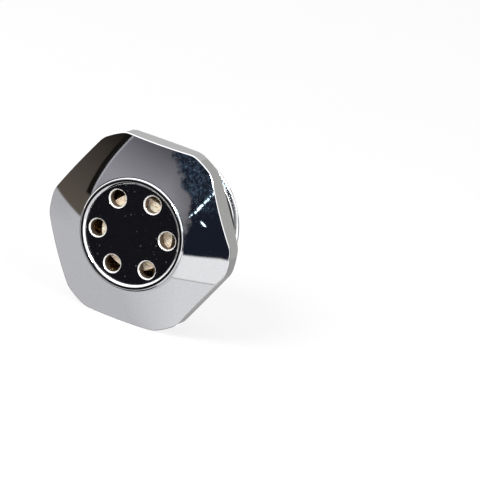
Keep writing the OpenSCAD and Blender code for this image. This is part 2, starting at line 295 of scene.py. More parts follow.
def bump(tree, shader, height, distance, strength=1.0):
    """Raises the surface by height times distance, in metres."""
    made = add(tree, "ShaderNodeBump", inputs={
        "Height": height, "Distance": distance, "Strength": strength,
    })
    tree.links.new(made.outputs["Normal"], shader.inputs["Normal"])


def axis_rings(tree, place, spacing):
    """Grey rings around the plug's axis, as a lathe tool leaves them, a spacing apart in metres."""
    parts = add(tree, "ShaderNodeSeparateXYZ", inputs={"Vector": place})
    radius = distance(tree, parts.outputs["X"], parts.outputs["Z"])
    turns = figure(tree, "MULTIPLY", radius, 2 * math.pi / spacing)
    return between(tree, figure(tree, "SINE", turns), 0.0, 1.0, -1.0, 1.0)


# %% [markdown]
# Chrome is nearly all reflection. Its colour is a light grey with a trace of blue, and what makes it
# look real is small: a polish that is a little uneven, hair scratches that show only in highlights,
# and a surface that isn't perfectly true, so that straight things bend a little in it.

# %% Chrome, polished and satin
CHROME = (0.745, 0.748, 0.762)
CHROME_DULL = (0.700, 0.703, 0.716)


def chrome(name, low, high, waviness):
    """Chrome plate with an uneven polish from roughness low to high."""
    material, tree, shader, place = blank_material(name, Metallic=1.0)
    grain = between(tree, noise(tree, place, 3600, 1), 0.0, 1.0, 0.35, 0.65)
    tree.links.new(mixed(tree, grain, CHROME, CHROME_DULL), shader.inputs["Base Color"])
    cloud = noise(tree, place, 420)
    hairs = noise(tree, place, 1500, 2, (1, 6, 0.15))
    rough = between(tree, figure(tree, "MULTIPLY", cloud, hairs), low, high, 0.12, 0.42)
    tree.links.new(rough, shader.inputs["Roughness"])
    bump(tree, shader, noise(tree, place, 260, 1), waviness)
    return material


chrome_polished = chrome("chrome_polished", 0.02, 0.06, 0.000003)
chrome_thread = chrome("chrome_thread", 0.10, 0.22, 0.000002)


TOOL_STEP = 0.00018


def turned_satin():
    """Plated end face: fine tool rings under the plate make it satin, not mirror."""
    material, tree, shader, place = blank_material(
        "chrome_satin", Base_Color=(0.80, 0.785, 0.76, 1), Metallic=1.0)
    cloud = noise(tree, place, 900)
    tree.links.new(between(tree, cloud, 0.34, 0.50, 0.3, 0.7), shader.inputs["Roughness"])
    bump(tree, shader, axis_rings(tree, place, TOOL_STEP), 0.000004, 0.6)
    return material


chrome_satin = turned_satin()
print("chromes:", chrome_polished.name, chrome_thread.name, chrome_satin.name)

# %% [markdown]
# The plate in the face is black enamel, deep and glossy, over bright metal. The enamel has a few
# specks of dust in it and a very fine orange peel. The holes were drilled after painting, so their
# chamfers and walls show bare metal: dull, light, a little ragged, with the rings that a drill leaves.
# Deeper down the walls are painted dark, with a ragged border: that is painted shade in the holes.

# %% Black enamel and bare plate metal
def black_enamel():
    material, tree, shader, place = blank_material("black_enamel", Roughness=0.10, IOR=1.52)
    specks = noise(tree, place, 2600, 0)
    dust = between(tree, specks, 0.0, 1.0, 0.80, 0.84)
    colour = mixed(tree, dust, (0.0045, 0.0045, 0.0062), (0.22, 0.21, 0.23))
    tree.links.new(colour, shader.inputs["Base Color"])
    bump(tree, shader, noise(tree, place, 1400, 1), 0.0000012)
    return material


# the walls of the holes get painted shade deeper than this height, and its border is made ragged by
# this much
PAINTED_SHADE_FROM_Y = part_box("face_plate")[0].y + 0.0006
PAINTED_SHADE_RAGGED = 0.0006


def plate_metal():
    """Bare metal round the holes: light where the drill's chamfer is, and painted shade deeper down."""
    material, tree, shader, place = blank_material("plate_metal", Metallic=0.35)
    patches = noise(tree, place, 2200, 2)
    dirt_and_shade_tone = between(tree, patches, 0.0, 1.0, 0.55, 0.68)
    colour = mixed(tree, dirt_and_shade_tone, (0.98, 0.97, 0.94), (0.42, 0.37, 0.30))
    depth = add(tree, "ShaderNodeSeparateXYZ", inputs={"Vector": place}).outputs["Y"]
    ragged = figure(tree, "MULTIPLY_ADD", patches, PAINTED_SHADE_RAGGED, depth)
    # painted shade: the wall is dark brown deeper in the hole, in random tones
    painted_shade_deep = between(tree, ragged, 0.0, 1.0, PAINTED_SHADE_FROM_Y, PAINTED_SHADE_FROM_Y + 0.0001)
    shaded = mixed(tree, dirt_and_shade_tone, (0.14, 0.105, 0.07), (0.04, 0.025, 0.015))
    colour = mixed(tree, painted_shade_deep, colour, shaded)
    tree.links.new(colour, shader.inputs["Base Color"])
    rings = noise(tree, place, 2500, 1, (0.2, 4, 0.2))
    tree.links.new(between(tree, rings, 0.25, 0.45), shader.inputs["Roughness"])
    bump(tree, shader, patches, 0.00006)
    return material


enamel = black_enamel()
bare_metal = plate_metal()
print("plate materials:", enamel.name, bare_metal.name)

# %% [markdown]
# Rubber is nearly black and satin, with a weak highlight. Its surface is a very fine grain from the
# mould, and handling leaves it a little shinier in places. The same recipe, rougher, makes the small
# pad in the valve.

# %% Rubber
def rubber(name, grey, low, high):
    material, tree, shader, place = blank_material(name, IOR=1.5)
    shader.inputs["Specular IOR Level"].default_value = 0.28
    cloud = noise(tree, place, 700)
    colour = mixed(tree, cloud, (grey, grey, grey), (1.7 * grey, 1.65 * grey, 1.6 * grey))
    tree.links.new(colour, shader.inputs["Base Color"])
    tree.links.new(between(tree, cloud, low, high, 0.3, 0.7), shader.inputs["Roughness"])
    bump(tree, shader, noise(tree, place, 6000, 2), 0.000006)
    return material


seal_rubber = rubber("seal_rubber", 0.006, 0.34, 0.46)
pad_rubber = rubber("pad_rubber", 0.014, 0.6, 0.75)
print("rubbers:", seal_rubber.name, pad_rubber.name)

# %% [markdown]
# The discs are pressed cellulose fibre: cream and peach, matt, crumpled, with short fibres lying in
# every direction. Two noises stretched across each other give the fibres, and a soft one the
# blotches. Thin brown lines of painted shade, for the creases, run where a third noise crosses its
# middle value.

# %% Fibre
def fibre():
    material, tree, shader, place = blank_material("tan_fibre", Roughness=0.85)
    shader.inputs["Specular IOR Level"].default_value = 0.3
    along = noise(tree, place, 2400, 3, (0.35, 1, 1.6))
    across = noise(tree, place, 2400, 3, (1.6, 1, 0.35))
    threads = figure(tree, "MAXIMUM", along, across)
    blotch = between(tree, noise(tree, place, 650, 3), 0, 1, 0.42, 0.6)
    ground = mixed(tree, blotch, (0.96, 0.88, 0.66), (0.90, 0.62, 0.44))
    light = between(tree, threads, 0, 1, 0.5, 0.72)
    colour = mixed(tree, light, ground, (0.98, 0.95, 0.84))
    fold = noise(tree, place, 900, 2)
    apart = figure(tree, "ABSOLUTE", figure(tree, "SUBTRACT", fold, 0.5))
    # painted shade: darker brown along thin lines, for the shade in the creases
    painted_crease_shade = between(tree, apart, 1, 0, 0.004, 0.022)
    colour = mixed(tree, painted_crease_shade, colour, (0.42, 0.24, 0.12))
    tree.links.new(colour, shader.inputs["Base Color"])
    bump(tree, shader, fold, 0.0005, 0.8)
    return material


tan_fibre = fibre()
print("fibre:", tan_fibre.name)

# %% [markdown]
# The pieces inside are brass and spring steel. They share one recipe: a metal with fine tool rings,
# a little lighter and darker in clouds.

# %% Inner metals
def worked_metal(name, light, dark, low, high, spacing):
    material, tree, shader, place = blank_material(name, Metallic=1.0)
    cloud = noise(tree, place, 1100)
    tree.links.new(mixed(tree, cloud, light, dark), shader.inputs["Base Color"])
    tree.links.new(between(tree, cloud, low, high, 0.3, 0.7), shader.inputs["Roughness"])
    bump(tree, shader, axis_rings(tree, place, spacing), 0.000003, 0.5)
    return material


brass = worked_metal("plain_brass", (0.80, 0.62, 0.32), (0.66, 0.48, 0.22), 0.18, 0.34, 0.00012)
steel = worked_metal("spring_steel", (0.62, 0.62, 0.64), (0.48, 0.48, 0.50), 0.16, 0.30, 0.0001)
gauze_steel = worked_metal("steel_gauze", (0.66, 0.66, 0.67), (0.52, 0.52, 0.53), 0.2, 0.35, 0.0001)
print("inner materials:", brass.name, steel.name, gauze_steel.name)

# %% [markdown]
# The head is a hexagon whose corners are turned round, with a shallow spherical dome for a face. Its
# outline is drawn once as points with a normal at each: straight flats, round corners, and a small
# blend between them where the polishing mop has softened the edge. Moving the points along their
# normals gives the same outline a little smaller, which the rounded edges need.

# %% Outline of the head
plug_low, _, corner_r = span("plug_body")
flat_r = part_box("plug_body")[1].z / MM
blend_r = 4.5
spigot_len = -plug_low
FLAT_POINTS, BLEND_POINTS, CORNER_POINTS = 11, 7, 6


def head_outline():
    """Points of the outline and their normals, once round from the +X corner."""
    side = math.sqrt((corner_r - blend_r) ** 2 - (flat_r - blend_r) ** 2)
    turn = math.atan2(side, flat_r - blend_r)
    blend_centre = np.array([flat_r - blend_r, side])
    half = []
    for y in np.linspace(0, side, FLAT_POINTS):
        half.append(((flat_r, y), 0.0))
    for a in np.linspace(0, turn, BLEND_POINTS)[1:]:
        arm = np.array([math.cos(a), math.sin(a)])
        half.append((tuple(blend_centre + blend_r * arm), a))
    for a in np.linspace(turn, math.radians(30), CORNER_POINTS)[1:]:
        half.append(((corner_r * math.cos(a), corner_r * math.sin(a)), a))
    back = [((x, -y), -a) for (x, y), a in reversed(half[1:-1])]
    sector = back + half
    points, normals = [], []
    for k in range(6):
        middle = math.radians(30 + 60 * k)
        spin = np.array([[math.cos(middle), -math.sin(middle)], [math.sin(middle), math.cos(middle)]])
        for point, a in sector:
            points.append(spin @ np.array(point))
            normals.append([math.cos(middle + a), math.sin(middle + a)])
    start = int(np.argmin([math.atan2(p[1], p[0]) % (2 * math.pi) for p in points]))
    return np.roll(points, -start, axis=0), np.roll(normals, -start, axis=0)


outline, outline_normal = head_outline()
column_angle = np.arctan2(outline[:, 1], outline[:, 0]) % (2 * math.pi)
COLUMNS = len(outline)
print("head outline:", COLUMNS, "points, flats", round(2 * flat_r, 2), "mm apart")

# %% [markdown]
# The thread is a 1 inch parallel pipe thread: 11 turns to the inch, flanks 55 degrees apart, crests
# and roots rounded alike. Its radius at any height and angle follows from one rule, so the grid can
# follow the helix. Each column starts its rows a little higher than the one before, and after one
# turn they have climbed by exactly one pitch, so row i meets row i + one pitch at the seam. Rows that
# would pass either end of the thread are held there and merge.

# %% Thread form
PITCH = 25.4 / 11
FLANK = math.radians(27.5)
DEPTH = 0.640327 * PITCH
CREST_R = 0.137329 * PITCH
thread_r = 33.249 / 2
arc_half = CREST_R * math.cos(FLANK)
arc_depth = CREST_R * (1 - math.sin(FLANK))
ARC_STEPS = 6


def thread_depth(away):
    """How deep the groove is, at a distance along the axis from the nearest crest."""
    if away < arc_half:
        return CREST_R - math.sqrt(CREST_R ** 2 - away ** 2)
    if away < PITCH / 2 - arc_half:
        return arc_depth + (away - arc_half) / math.tan(FLANK)
    rest = PITCH / 2 - away
    return DEPTH - CREST_R + math.sqrt(CREST_R ** 2 - rest ** 2)


def thread_radius(z, angle):
    """Radius of the threaded surface at a height and an angle, for a right-hand thread."""
    phase = (z / PITCH - angle / (2 * math.pi) + 0.5) % 1 - 0.5
    return thread_r - thread_depth(abs(phase) * PITCH)


def pitch_steps():
    """Heights within one pitch at which the thread form needs a row."""
    bend = math.pi / 2 - FLANK
    arc = [CREST_R * math.sin(-bend + 2 * bend * k / ARC_STEPS) for k in range(ARC_STEPS + 1)]
    crest = arc + [PITCH / 4]
    root = [PITCH / 2 + z for z in arc] + [3 * PITCH / 4]
    return sorted((z + PITCH) % PITCH for z in crest + root)


steps_in_pitch = pitch_steps()
PER_PITCH = len(steps_in_pitch)
print("thread: pitch", round(PITCH, 3), "depth", round(DEPTH, 3), "rows per pitch", PER_PITCH)

# %% [markdown]
# Next is the whole body, as one closed skin. Its rows run from the pinhole across the end face, over
# the lead-in chamfer and the thread, along the undercut, out over the back of the head, up the flats,
# over the rounded rim and the dome, and down through the counterbore, the chamber and the raised
# seat back to the pinhole. First come its sizes. What meets another piece takes its size from that
# piece's box, with a small clearance.

# %% Sizes of the body
fit = 0.02
cup_fit = 0.1
dome_r = 46.0
corner_h = 4.25
rim_round = 0.28
back_round = 0.15
relief_r = thread_r - 1.62
relief_z = -3.6
chamfer_h = 1.5
chamfer_w = 1.9
back_land_r = flat_r + 0.2
back_chamfer_h = 0.3
dome_centre = corner_h - math.sqrt(dome_r ** 2 - corner_r ** 2)
ledge_z, bezel_top, bezel_r = span("bezel_ring")
bore_r = bezel_r + fit
bore_edge = 0.12
cup_low, cup_high, cup_r = span("cartridge_cup")
gauze_low, gauze_high, _ = span("filter_gauze")
pad_low, pad_top, pad_r = span("seat_pad")
chamber_r = cup_r + cup_fit
lower_r = cup_r - 2.35
pinhole_r = 1.05
seat_land_r = pinhole_r + 0.5
seat_h = 0.58
seat_z = pad_low - 1.02
print("chamber, lower chamber and pinhole, mm:", round(2 * chamber_r, 2), round(2 * lower_r, 2),
      2 * pinhole_r)

# %% [markdown]
# The rows of the thread climb with the helix, as said above. Their radius is the thread's, or that of
# the lead-in cone where the cone is smaller, so the chamfer cuts the thread as a lathe tool would.

# %% Rows of the thread
thread_start = 0.06


def ring_at(r, z):
    """A plain round row, at the same angles as the columns of the head."""
    return np.stack([r * np.cos(column_angle), r * np.sin(column_angle), z + 0 * column_angle], 1)


def thread_rows():
    """The chamfered start of the thread and its turns, up to the undercut."""
    low, high = -spigot_len + thread_start, relief_z
    turns = math.ceil((high - low) / PITCH) + 1
    rows = []
    for k in range(turns * PER_PITCH + 1):
        climb = low + PITCH * (k // PER_PITCH - 1) + steps_in_pitch[k % PER_PITCH]
        row = []
        for angle in column_angle:
            z = min(max(climb + PITCH * angle / (2 * math.pi), low), high)
            cone = thread_r - chamfer_w * (1 - (z + spigot_len) / chamfer_h)
            r = min(thread_radius(z - low, angle), cone)
            row.append((r * math.cos(angle), r * math.sin(angle), z))
        rows.append(row)
    return rows


screw = thread_rows()
print("rows of the thread:", len(screw))

# %% [markdown]
# The head is turned from hexagon bar. Its back has a shallow chamfer that fades out in the middle of
# each flat. The rounded rim is the path of a small ball that rolls along the edge: it turns from the
# normal of the flat to the normal of the dome. Rows lie closer together beside an edge, because they
# keep the shading flat up to it.

# %% Rows of the head
FLAT_SHARES = (0.06, 0.5, 0.94)
DOME_SHARES = (0.008, 0.03, *np.linspace(0.08, 0.92, 20), 0.97, 0.992, 1.0)
BACK_STEPS = 4
RIM_STEPS = 7


def dome_z(r):
    return dome_centre + np.sqrt(dome_r ** 2 - r ** 2)


def back_lift(points):
    """How far the chamfer lifts the back of the head at these points of an outline."""
    slope = back_chamfer_h / (corner_r - back_land_r)
    return np.maximum(0, slope * (np.hypot(*points.T) - back_land_r))


def back_rows():
    """The flat back, its chamfer and the rounded edge up to the flats."""
    land = np.minimum(back_land_r, np.hypot(*outline.T) - 2.2 * back_round)
    inner = outline - 1.6 * back_round * outline_normal
    rows = [ring_at(land, 0.0), np.column_stack([inner, back_lift(inner)])]
    centre = outline - back_round * outline_normal
    base = back_lift(centre) + back_round
    for k in range(BACK_STEPS + 1):
        a = math.pi / 2 * k / BACK_STEPS
        out = centre + back_round * math.sin(a) * outline_normal
        rows.append(np.column_stack([out, base - back_round * math.cos(a)]))
    return rows


def rim_rows(low_z):
    """The flats from the height low_z, and the rolled rim."""
    ball = outline - rim_round * outline_normal
    ball_z = dome_centre + np.sqrt((dome_r - rim_round) ** 2 - np.hypot(*ball.T) ** 2)
    rows = [np.column_stack([outline, low_z + t * (ball_z - low_z)]) for t in FLAT_SHARES]
    up = np.column_stack([ball, ball_z - dome_centre]) / (dome_r - rim_round)
    flat = np.column_stack([outline_normal, 0 * ball_z])
    swing = np.arccos(np.clip((up * flat).sum(1), -1, 1))[:, None]
    for k in range(RIM_STEPS + 1):
        t = k / RIM_STEPS
        arm = (np.sin((1 - t) * swing) * flat + np.sin(t * swing) * up) / np.sin(swing)
        rows.append(np.column_stack([ball, ball_z]) + rim_round * arm)
    return rows


def dome_rows(edge):
    """The dome, from the last row of the rim to the edge of the counterbore."""
    edge_r = np.hypot(edge[:, 0], edge[:, 1])
    edge_angle = np.arctan2(edge[:, 1], edge[:, 0])
    rows = []
    for t in DOME_SHARES:
        r = edge_r + t * (bore_r + bore_edge - edge_r)
        rows.append(np.stack([r * np.cos(edge_angle), r * np.sin(edge_angle), dome_z(r)], 1))
    return rows


def head_rows():
    back = back_rows()
    rim = rim_rows(back[-1][:, 2])
    return back + rim + dome_rows(rim[-1])


head = head_rows()
print("rows of the head:", len(head))

# %% [markdown]
# Inside, the bore steps inwards three times: a ledge for the bezel ring, a ledge for the gauze and
# the cup, and the floor around the raised seat. The pinhole runs through the seat to the end face.

# %% Rows of the inside and the end face
def inside_rows():
    """Counterbore with its edge a little broken, chamber, lower chamber, raised seat and pinhole."""
    edge_z = float(dome_z(bore_r))
    section = [
        (bore_r + 0.05, edge_z + 0.005), (bore_r, edge_z - 0.06), (bore_r, edge_z - 1.0),
        (bore_r, ledge_z), (chamber_r, ledge_z), (chamber_r, gauze_low), (lower_r, gauze_low),
        (lower_r, seat_z - seat_h), (seat_land_r + seat_h, seat_z - seat_h),
        (seat_land_r, seat_z), (pinhole_r, seat_z), (pinhole_r, -spigot_len + 0.1),
    ]
    return [ring_at(r, z) for r, z in section]


def end_rows():
    """The end face, from the edge of the pinhole to a small round before the chamfer."""
    # a second row close to each edge keeps the shading of the face flat
    end_r = thread_r - chamfer_w
    radii = (pinhole_r + 0.1, pinhole_r + 0.6, end_r - 1, end_r - 0.12)
    return [ring_at(r, -spigot_len) for r in radii] + [ring_at(end_r - 0.04, -spigot_len + 0.015)]


# %% [markdown]
# The rows are stacked into one grid. Its seam is plain everywhere but on the thread, where each row
# meets the one a pitch further on. The strips between rows carry the finishes: satin on the end
# face, duller chrome on the thread, polished chrome on the head and bare brass inside.

# %% Body of the plug
def plug_body():
    end, inside = end_rows(), inside_rows()
    neck = [ring_at(relief_r, relief_z), ring_at(relief_r, 0), ring_at(relief_r + 2, 0)]
    rows = np.array([row for part in (end, screw, neck, head, inside) for row in part], float)
    first, last = len(end), len(end) + len(screw) - 1
    seam = [min(i + PER_PITCH, last) if first <= i <= last else i for i in range(len(rows))]
    materials = [1] * (len(end) - 1) + [2] * (len(screw) + 2) + [0] * (len(neck) + 1 + len(head))
    materials += [3] * (len(rows) - len(materials))
    mesh = grid_mesh("body_chromed", rows, seam=seam, strip_material=materials)
    return on_bench(mesh, "body_chromed", [chrome_polished, chrome_satin, chrome_thread, brass])


body = lay(plug_body(), "housing", "chromed_brass", "plug_body")

# %% [markdown]
# The ring seal is a torus with the faint flash line that a two-part mould leaves round its outside
# and inside. It hangs on the undercut, against the back of the head. The cup has a smaller one.

# %% Ring seals
FLASH_W = 0.06


def ring_section(mean_r, section_r, z, flash=0.0, points=40):
    """Round section with a low ridge at the mould's parting line."""
    section = []
    for k in range(points):
        a = 2 * math.pi * k / points
        ridge = flash * math.exp(-((math.sin(a) * section_r / FLASH_W) ** 2))
        r = section_r + ridge - flash
        section.append((mean_r + r * math.cos(a), z + r * math.sin(a)))
    return section


def ring_seal(name, node, flash):
    low, high, outer = span(node)
    section_r = (high - low) / 2
    rows = revolve(ring_section(outer - section_r, section_r, high - section_r, flash), 192)
    return on_bench(grid_mesh(name, rows), name, [seal_rubber])


lay(ring_seal("seal_ring", "thread_seal", 0.02), "housing", "seal_rubber", "thread_seal")
lay(ring_seal("cup_seal_ring", "cartridge_seal", 0.01), "housing", "seal_rubber", "cartridge_seal")

# %% [markdown]
# The bezel ring is a thin sleeve in the counterbore. Its lip clamps the flange of the black plate.
# Its top is a polished bead that stands a little proud of the dome: round on the outside, with a
# straight bevel that falls inwards to the black plate.

# %% Bezel ring
bead_w = 1.35
bead_outer_round = 0.5
bead_inner_round = 0.3
bevel_w = 0.42
bevel_slope = math.radians(35)
plate_low, face_z, flange_r = span("face_plate")
flange_z = plate_low + 0.95
lip_r = bezel_r - bead_w
clamp_r = flange_r + fit
foot_edge = 0.02


def arc(centre, r, start, sweep, steps):
    """Points of an arc in a section, in equal steps."""
    angles = [start + sweep * k / steps for k in range(steps + 1)]
    return [(centre[0] + r * math.cos(a), centre[1] + r * math.sin(a)) for a in angles]


def bezel_section():
    outer_centre = (bezel_r - bead_outer_round, bezel_top - bead_outer_round)
    crest_r = lip_r + bevel_w + bead_inner_round * math.sin(bevel_slope)
    crest = arc((crest_r, bezel_top - bead_inner_round), bead_inner_round, math.pi / 2, bevel_slope, 10)
    foot_z = crest[-1][1] - bevel_w * math.tan(bevel_slope)
    section = [(lip_r, flange_z), (clamp_r, flange_z), (clamp_r, ledge_z), (bezel_r, ledge_z)]
    section += arc(outer_centre, bead_outer_round, 0.0, math.pi / 2, 14) + crest
    return section + [(lip_r + foot_edge, foot_z + foot_edge), (lip_r, foot_z - foot_edge / 2)]


bezel_mesh = grid_mesh("bezel_bead", revolve(bezel_section(), 240))
bezel = on_bench(bezel_mesh, "bezel_bead", [chrome_polished])
lay(bezel, "housing", "bright_chrome", "bezel_ring")

# %% [markdown]
# Holes, ribs, spring turns and woven wires repeat by a rule, so Geometry Nodes make them. A few
# helpers keep the trees short: one opens a tree with its named inputs, one makes instances real and
# gives them a material, and one runs a finished tree on a piece. An input is set by its socket's
# identifier, and the result is kept as a plain mesh, without the modifier.

# %% Helpers for Geometry Nodes trees
def new_tree(title, inputs, output):
    """A Geometry Nodes tree with named inputs and one geometry output. Returns it and its inputs."""
    tree = bpy.data.node_groups.new(title, "GeometryNodeTree")
    for name, kind in inputs.items():
        tree.interface.new_socket(name, in_out="INPUT", socket_type="NodeSocket" + kind)
    tree.interface.new_socket(output, in_out="OUTPUT", socket_type="NodeSocketGeometry")
    return tree, tree.nodes.new("NodeGroupInput").outputs


def made_real(tree, geometry, material):
    """Makes instances real and gives them a material. A tree ends with it."""
    whole = add(tree, "GeometryNodeRealizeInstances", inputs={"Geometry": geometry})
    painted = add(tree, "GeometryNodeSetMaterial", inputs={
        "Geometry": whole.outputs[0], "Material": material,
    })
    return painted.outputs[0]


def end_tree(tree, geometry):
    out = tree.nodes.new("NodeGroupOutput")
    tree.links.new(geometry, out.inputs[0])
    return tree


def swept(tree, curve, radius, sides):
    """A round wire along a curve, with closed ends."""
    wire = add(tree, "GeometryNodeCurvePrimitiveCircle", inputs={
        "Resolution": sides, "Radius": radius,
    })
    return add(tree, "GeometryNodeCurveToMesh", inputs={
        "Curve": curve, "Profile Curve": wire.outputs[0], "Fill Caps": True,
    }).outputs[0]


def apply_tree(piece, tree, values):
    """Runs a tree on a piece with its named inputs set, and keeps the result as a plain mesh."""
    modifier = piece.modifiers.new(tree.name, "NODES")
    modifier.node_group = tree
    sockets = {s.name: s.identifier for s in tree.interface.items_tree if s.in_out == "INPUT"}
    for name, value in values.items():
        modifier[sockets[name]] = value
    bpy.context.view_layer.update()
    seen = piece.evaluated_get(bpy.context.evaluated_depsgraph_get())
    made = bpy.data.meshes.new_from_object(seen)
    piece.modifiers.remove(modifier)
    made.name = piece.name
    piece.data = made
    return piece


# %% [markdown]
# Three pieces are drilled with a circle of equal holes: the black plate, the pressure plate and the
# floor of the cup. The cup also has a circle of equal ribs. One rule makes a Geometry Nodes tree for
# either job: it sets copies of a tool on the points of a circle, each turned to face the axis, and
# takes them away from the blank, or joins them to it. A drill is a turned mesh, so its shape gives
# the hole its chamfer. Front faces can be given a material of their own, for the enamel.

# %% Trees: cut or join a circle of equal shapes
def circle_tree(title, operation):
    tree, given = new_tree(title, {
        "Blank": "Geometry", "Tool": "Object", "Count": "Int", "Circle radius": "Float",
        "First angle": "Float", "Metal": "Material", "Front finish": "Material",
        "Front height": "Float",
    }, "Worked")
    circle = add(tree, "GeometryNodeMeshCircle", inputs={
        "Vertices": given["Count"], "Radius": given["Circle radius"],
    })
    index = add(tree, "GeometryNodeInputIndex").outputs[0]
    share = figure(tree, "DIVIDE", index, given["Count"])
    own_angle = figure(tree, "MULTIPLY", share, 2 * math.pi)
    facing = add(tree, "ShaderNodeCombineXYZ", inputs={"Z": own_angle})
    tool = add(tree, "GeometryNodeObjectInfo", inputs={"Object": given["Tool"]})
    copies = add(tree, "GeometryNodeInstanceOnPoints", inputs={
        "Points": circle.outputs["Mesh"], "Instance": tool.outputs["Geometry"],
        "Rotation": facing.outputs[0],
    })
    turn = add(tree, "ShaderNodeCombineXYZ", inputs={"Z": given["First angle"]})
    turned_copies = add(tree, "GeometryNodeTransform", inputs={
        "Geometry": copies.outputs[0], "Rotation": turn.outputs[0],
    })
    solid = add(tree, "GeometryNodeRealizeInstances", inputs={"Geometry": turned_copies.outputs[0]})
    cut = add(tree, "GeometryNodeMeshBoolean", {"operation": operation, "solver": "EXACT"})
    tree.links.new(solid.outputs[0], cut.inputs["Mesh 2"])
    blank_into = "Mesh 1" if operation == "DIFFERENCE" else "Mesh 2"
    tree.links.new(given["Blank"], cut.inputs[blank_into])
    place = add(tree, "GeometryNodeInputPosition")
    height = add(tree, "ShaderNodeSeparateXYZ", inputs={"Vector": place.outputs[0]})
    front = add(tree, "FunctionNodeCompare", {"operation": "GREATER_THAN"}, {
        "A": height.outputs["Z"], "B": given["Front height"],
    })
    metal = made_real(tree, cut.outputs["Mesh"], given["Metal"])
    coat = add(tree, "GeometryNodeSetMaterial", inputs={
        "Geometry": metal, "Selection": front.outputs["Result"], "Material": given["Front finish"],
    })
    return end_tree(tree, coat.outputs[0])


drill_tree = circle_tree("Drill a circle of holes", "DIFFERENCE")
rib_tree = circle_tree("Join a circle of ribs", "UNION")
print("trees for circles:", len(drill_tree.nodes), "and", len(rib_tree.nodes), "nodes")

# %% [markdown]
# A drill is drawn as a section too, a little longer than the hole, and wider at its top where it
# countersinks. Its tree runs once on the blank, and then the drill is removed. Ribs start as plain
# blocks with rounded edges.

# %% Helpers: a drilled piece and a ribbed piece
PAST = 1.0
ABOVE_ALL = 1000.0


def drill_section(hole_r, low, high, chamfer=0.0):
    """A drill that enters at height high and leaves at low, with a countersink at its top."""
    return [
        (0, low - PAST), (hole_r, low - PAST), (hole_r, high - chamfer),
        (hole_r + 2 * chamfer + 0.001, high + chamfer), (0, high + chamfer + PAST),
    ]


def worked(piece, tree, tool, count, circle_r, first, metal, front=None, front_height=ABOVE_ALL):
    """Works a circle of shapes into a bench piece, and removes the tool."""
    apply_tree(piece, tree, {
        "Tool": tool, "Count": count, "Circle radius": circle_r, "First angle": first,
        "Metal": metal, "Front finish": front or metal, "Front height": front_height,
    })
    bpy.data.objects.remove(tool)
    close_mesh(piece.data)
    return piece


def drilled(piece, section, *rest):
    tool = turned(piece.name + "_drill", section, [], radius=0.03, columns=40, steps=2)
    return worked(piece, drill_tree, tool, *rest)


def block(name, low, high, edge):
    """A box between two corners, with rounded edges."""
    bm = bmesh.new()
    bmesh.ops.create_cube(bm, size=1)
    for vert in bm.verts:
        vert.co = Vector(l + (c + 0.5) * (h - l) for l, h, c in zip(low, high, vert.co))
    bmesh.ops.bevel(bm, geom=list(bm.edges), offset=edge, segments=3, affect="EDGES", profile=0.5)
    mesh = bpy.data.meshes.new(name)
    bm.to_mesh(mesh)
    bm.free()
    return on_bench(close_mesh(mesh), name, [])


# %% [markdown]
# The black plate shows inside the bezel ring. Its six vents have a bright chamfer round the edge, and
# through them the fibre can be seen. It is turned with its flange and then drilled from the front,
# so the drill's chamfer cuts through the enamel as it does on the real plate.

# %% Black vent plate
HOLES = 6
vent_r = 1.88
vent_circle_r = 8.2
vent_chamfer = 0.25
vent_turn = math.radians(8.75)
enamel_t = 0.03


def vent_plate():
    section = [
        (0, plate_low), (flange_r, plate_low), (flange_r, flange_z),
        (lip_r - fit, flange_z), (lip_r - fit, face_z), (0, face_z),
    ]
    plate = turned("vent_plate", section, [bare_metal, enamel], radius=0.08, columns=192)
    drill = drill_section(vent_r, plate_low, face_z, vent_chamfer)
    return drilled(plate, drill, HOLES, vent_circle_r, vent_turn, bare_metal, enamel, face_z - enamel_t)


lay(vent_plate(), "housing", "black_face", "face_plate")

# %% [markdown]
# The discs are punched from fibre board. Their edges show in the vent holes, and a punched edge is
# a little rounded and pulled over, so each disc is turned with soft edges.

# %% Fibre discs
disc_hole_r = 3.0
disc_edge = 0.1


def fibre_disc(node):
    low, high, outer = span(node)
    section = [(disc_hole_r, low), (outer, low), (outer, high), (disc_hole_r, high)]
    return turned("punched_" + node, section, [tan_fibre], radius=disc_edge, columns=160)


discs = sorted(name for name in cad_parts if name.startswith("fibre_disc"))
for name in discs:
    lay(fibre_disc(name), "housing", "tan_fibre", name)

# %% [markdown]
# The small turned pieces of the valve. The stem has a collar for the pressure plate and a groove for
# the clip, and its lower end is pressed into the valve head, whose recess holds the rubber pad. All
# of them ride on the body that slides, so they move together when the discs swell.

# %% Valve pieces
press_low, press_high, press_r = span("pressure_plate")
stem_low, stem_high, collar_r = span("valve_stem")
clip_low, clip_high, clip_r = span("stem_clip")
head_low, head_high, valve_head_r = span("valve_head")
stem_r = 1.5
stem_chamfer = 0.2
groove = 0.2
collar_t = 0.7
press_hole_r = 0.9
press_circle_r = 5.5
valve_head_chamfer = 0.3


def pressure_plate():
    bore = stem_r + fit
    section = [(bore, press_low), (press_r, press_low), (press_r, press_high), (bore, press_high)]
    plate = turned("press_disc", section, [brass], radius=0.06, columns=160)
    drill = drill_section(press_hole_r, press_low, press_high)
    return drilled(plate, drill, HOLES, press_circle_r, 0.0, brass)


def valve_stem():
    groove_r, groove_top = stem_r - groove, clip_high + fit
    collar_low = press_low - collar_t
    section = [
        (0, stem_high), (stem_r - stem_chamfer, stem_high), (stem_r, stem_high - stem_chamfer),
        (stem_r, groove_top), (groove_r, groove_top), (groove_r, press_high),
        (stem_r, press_high), (stem_r, press_low), (collar_r, press_low),
        (collar_r, collar_low), (stem_r, collar_low), (stem_r, stem_low), (0, stem_low),
    ]
    return turned("stem_turned", section, [brass], radius=0.03, columns=96)


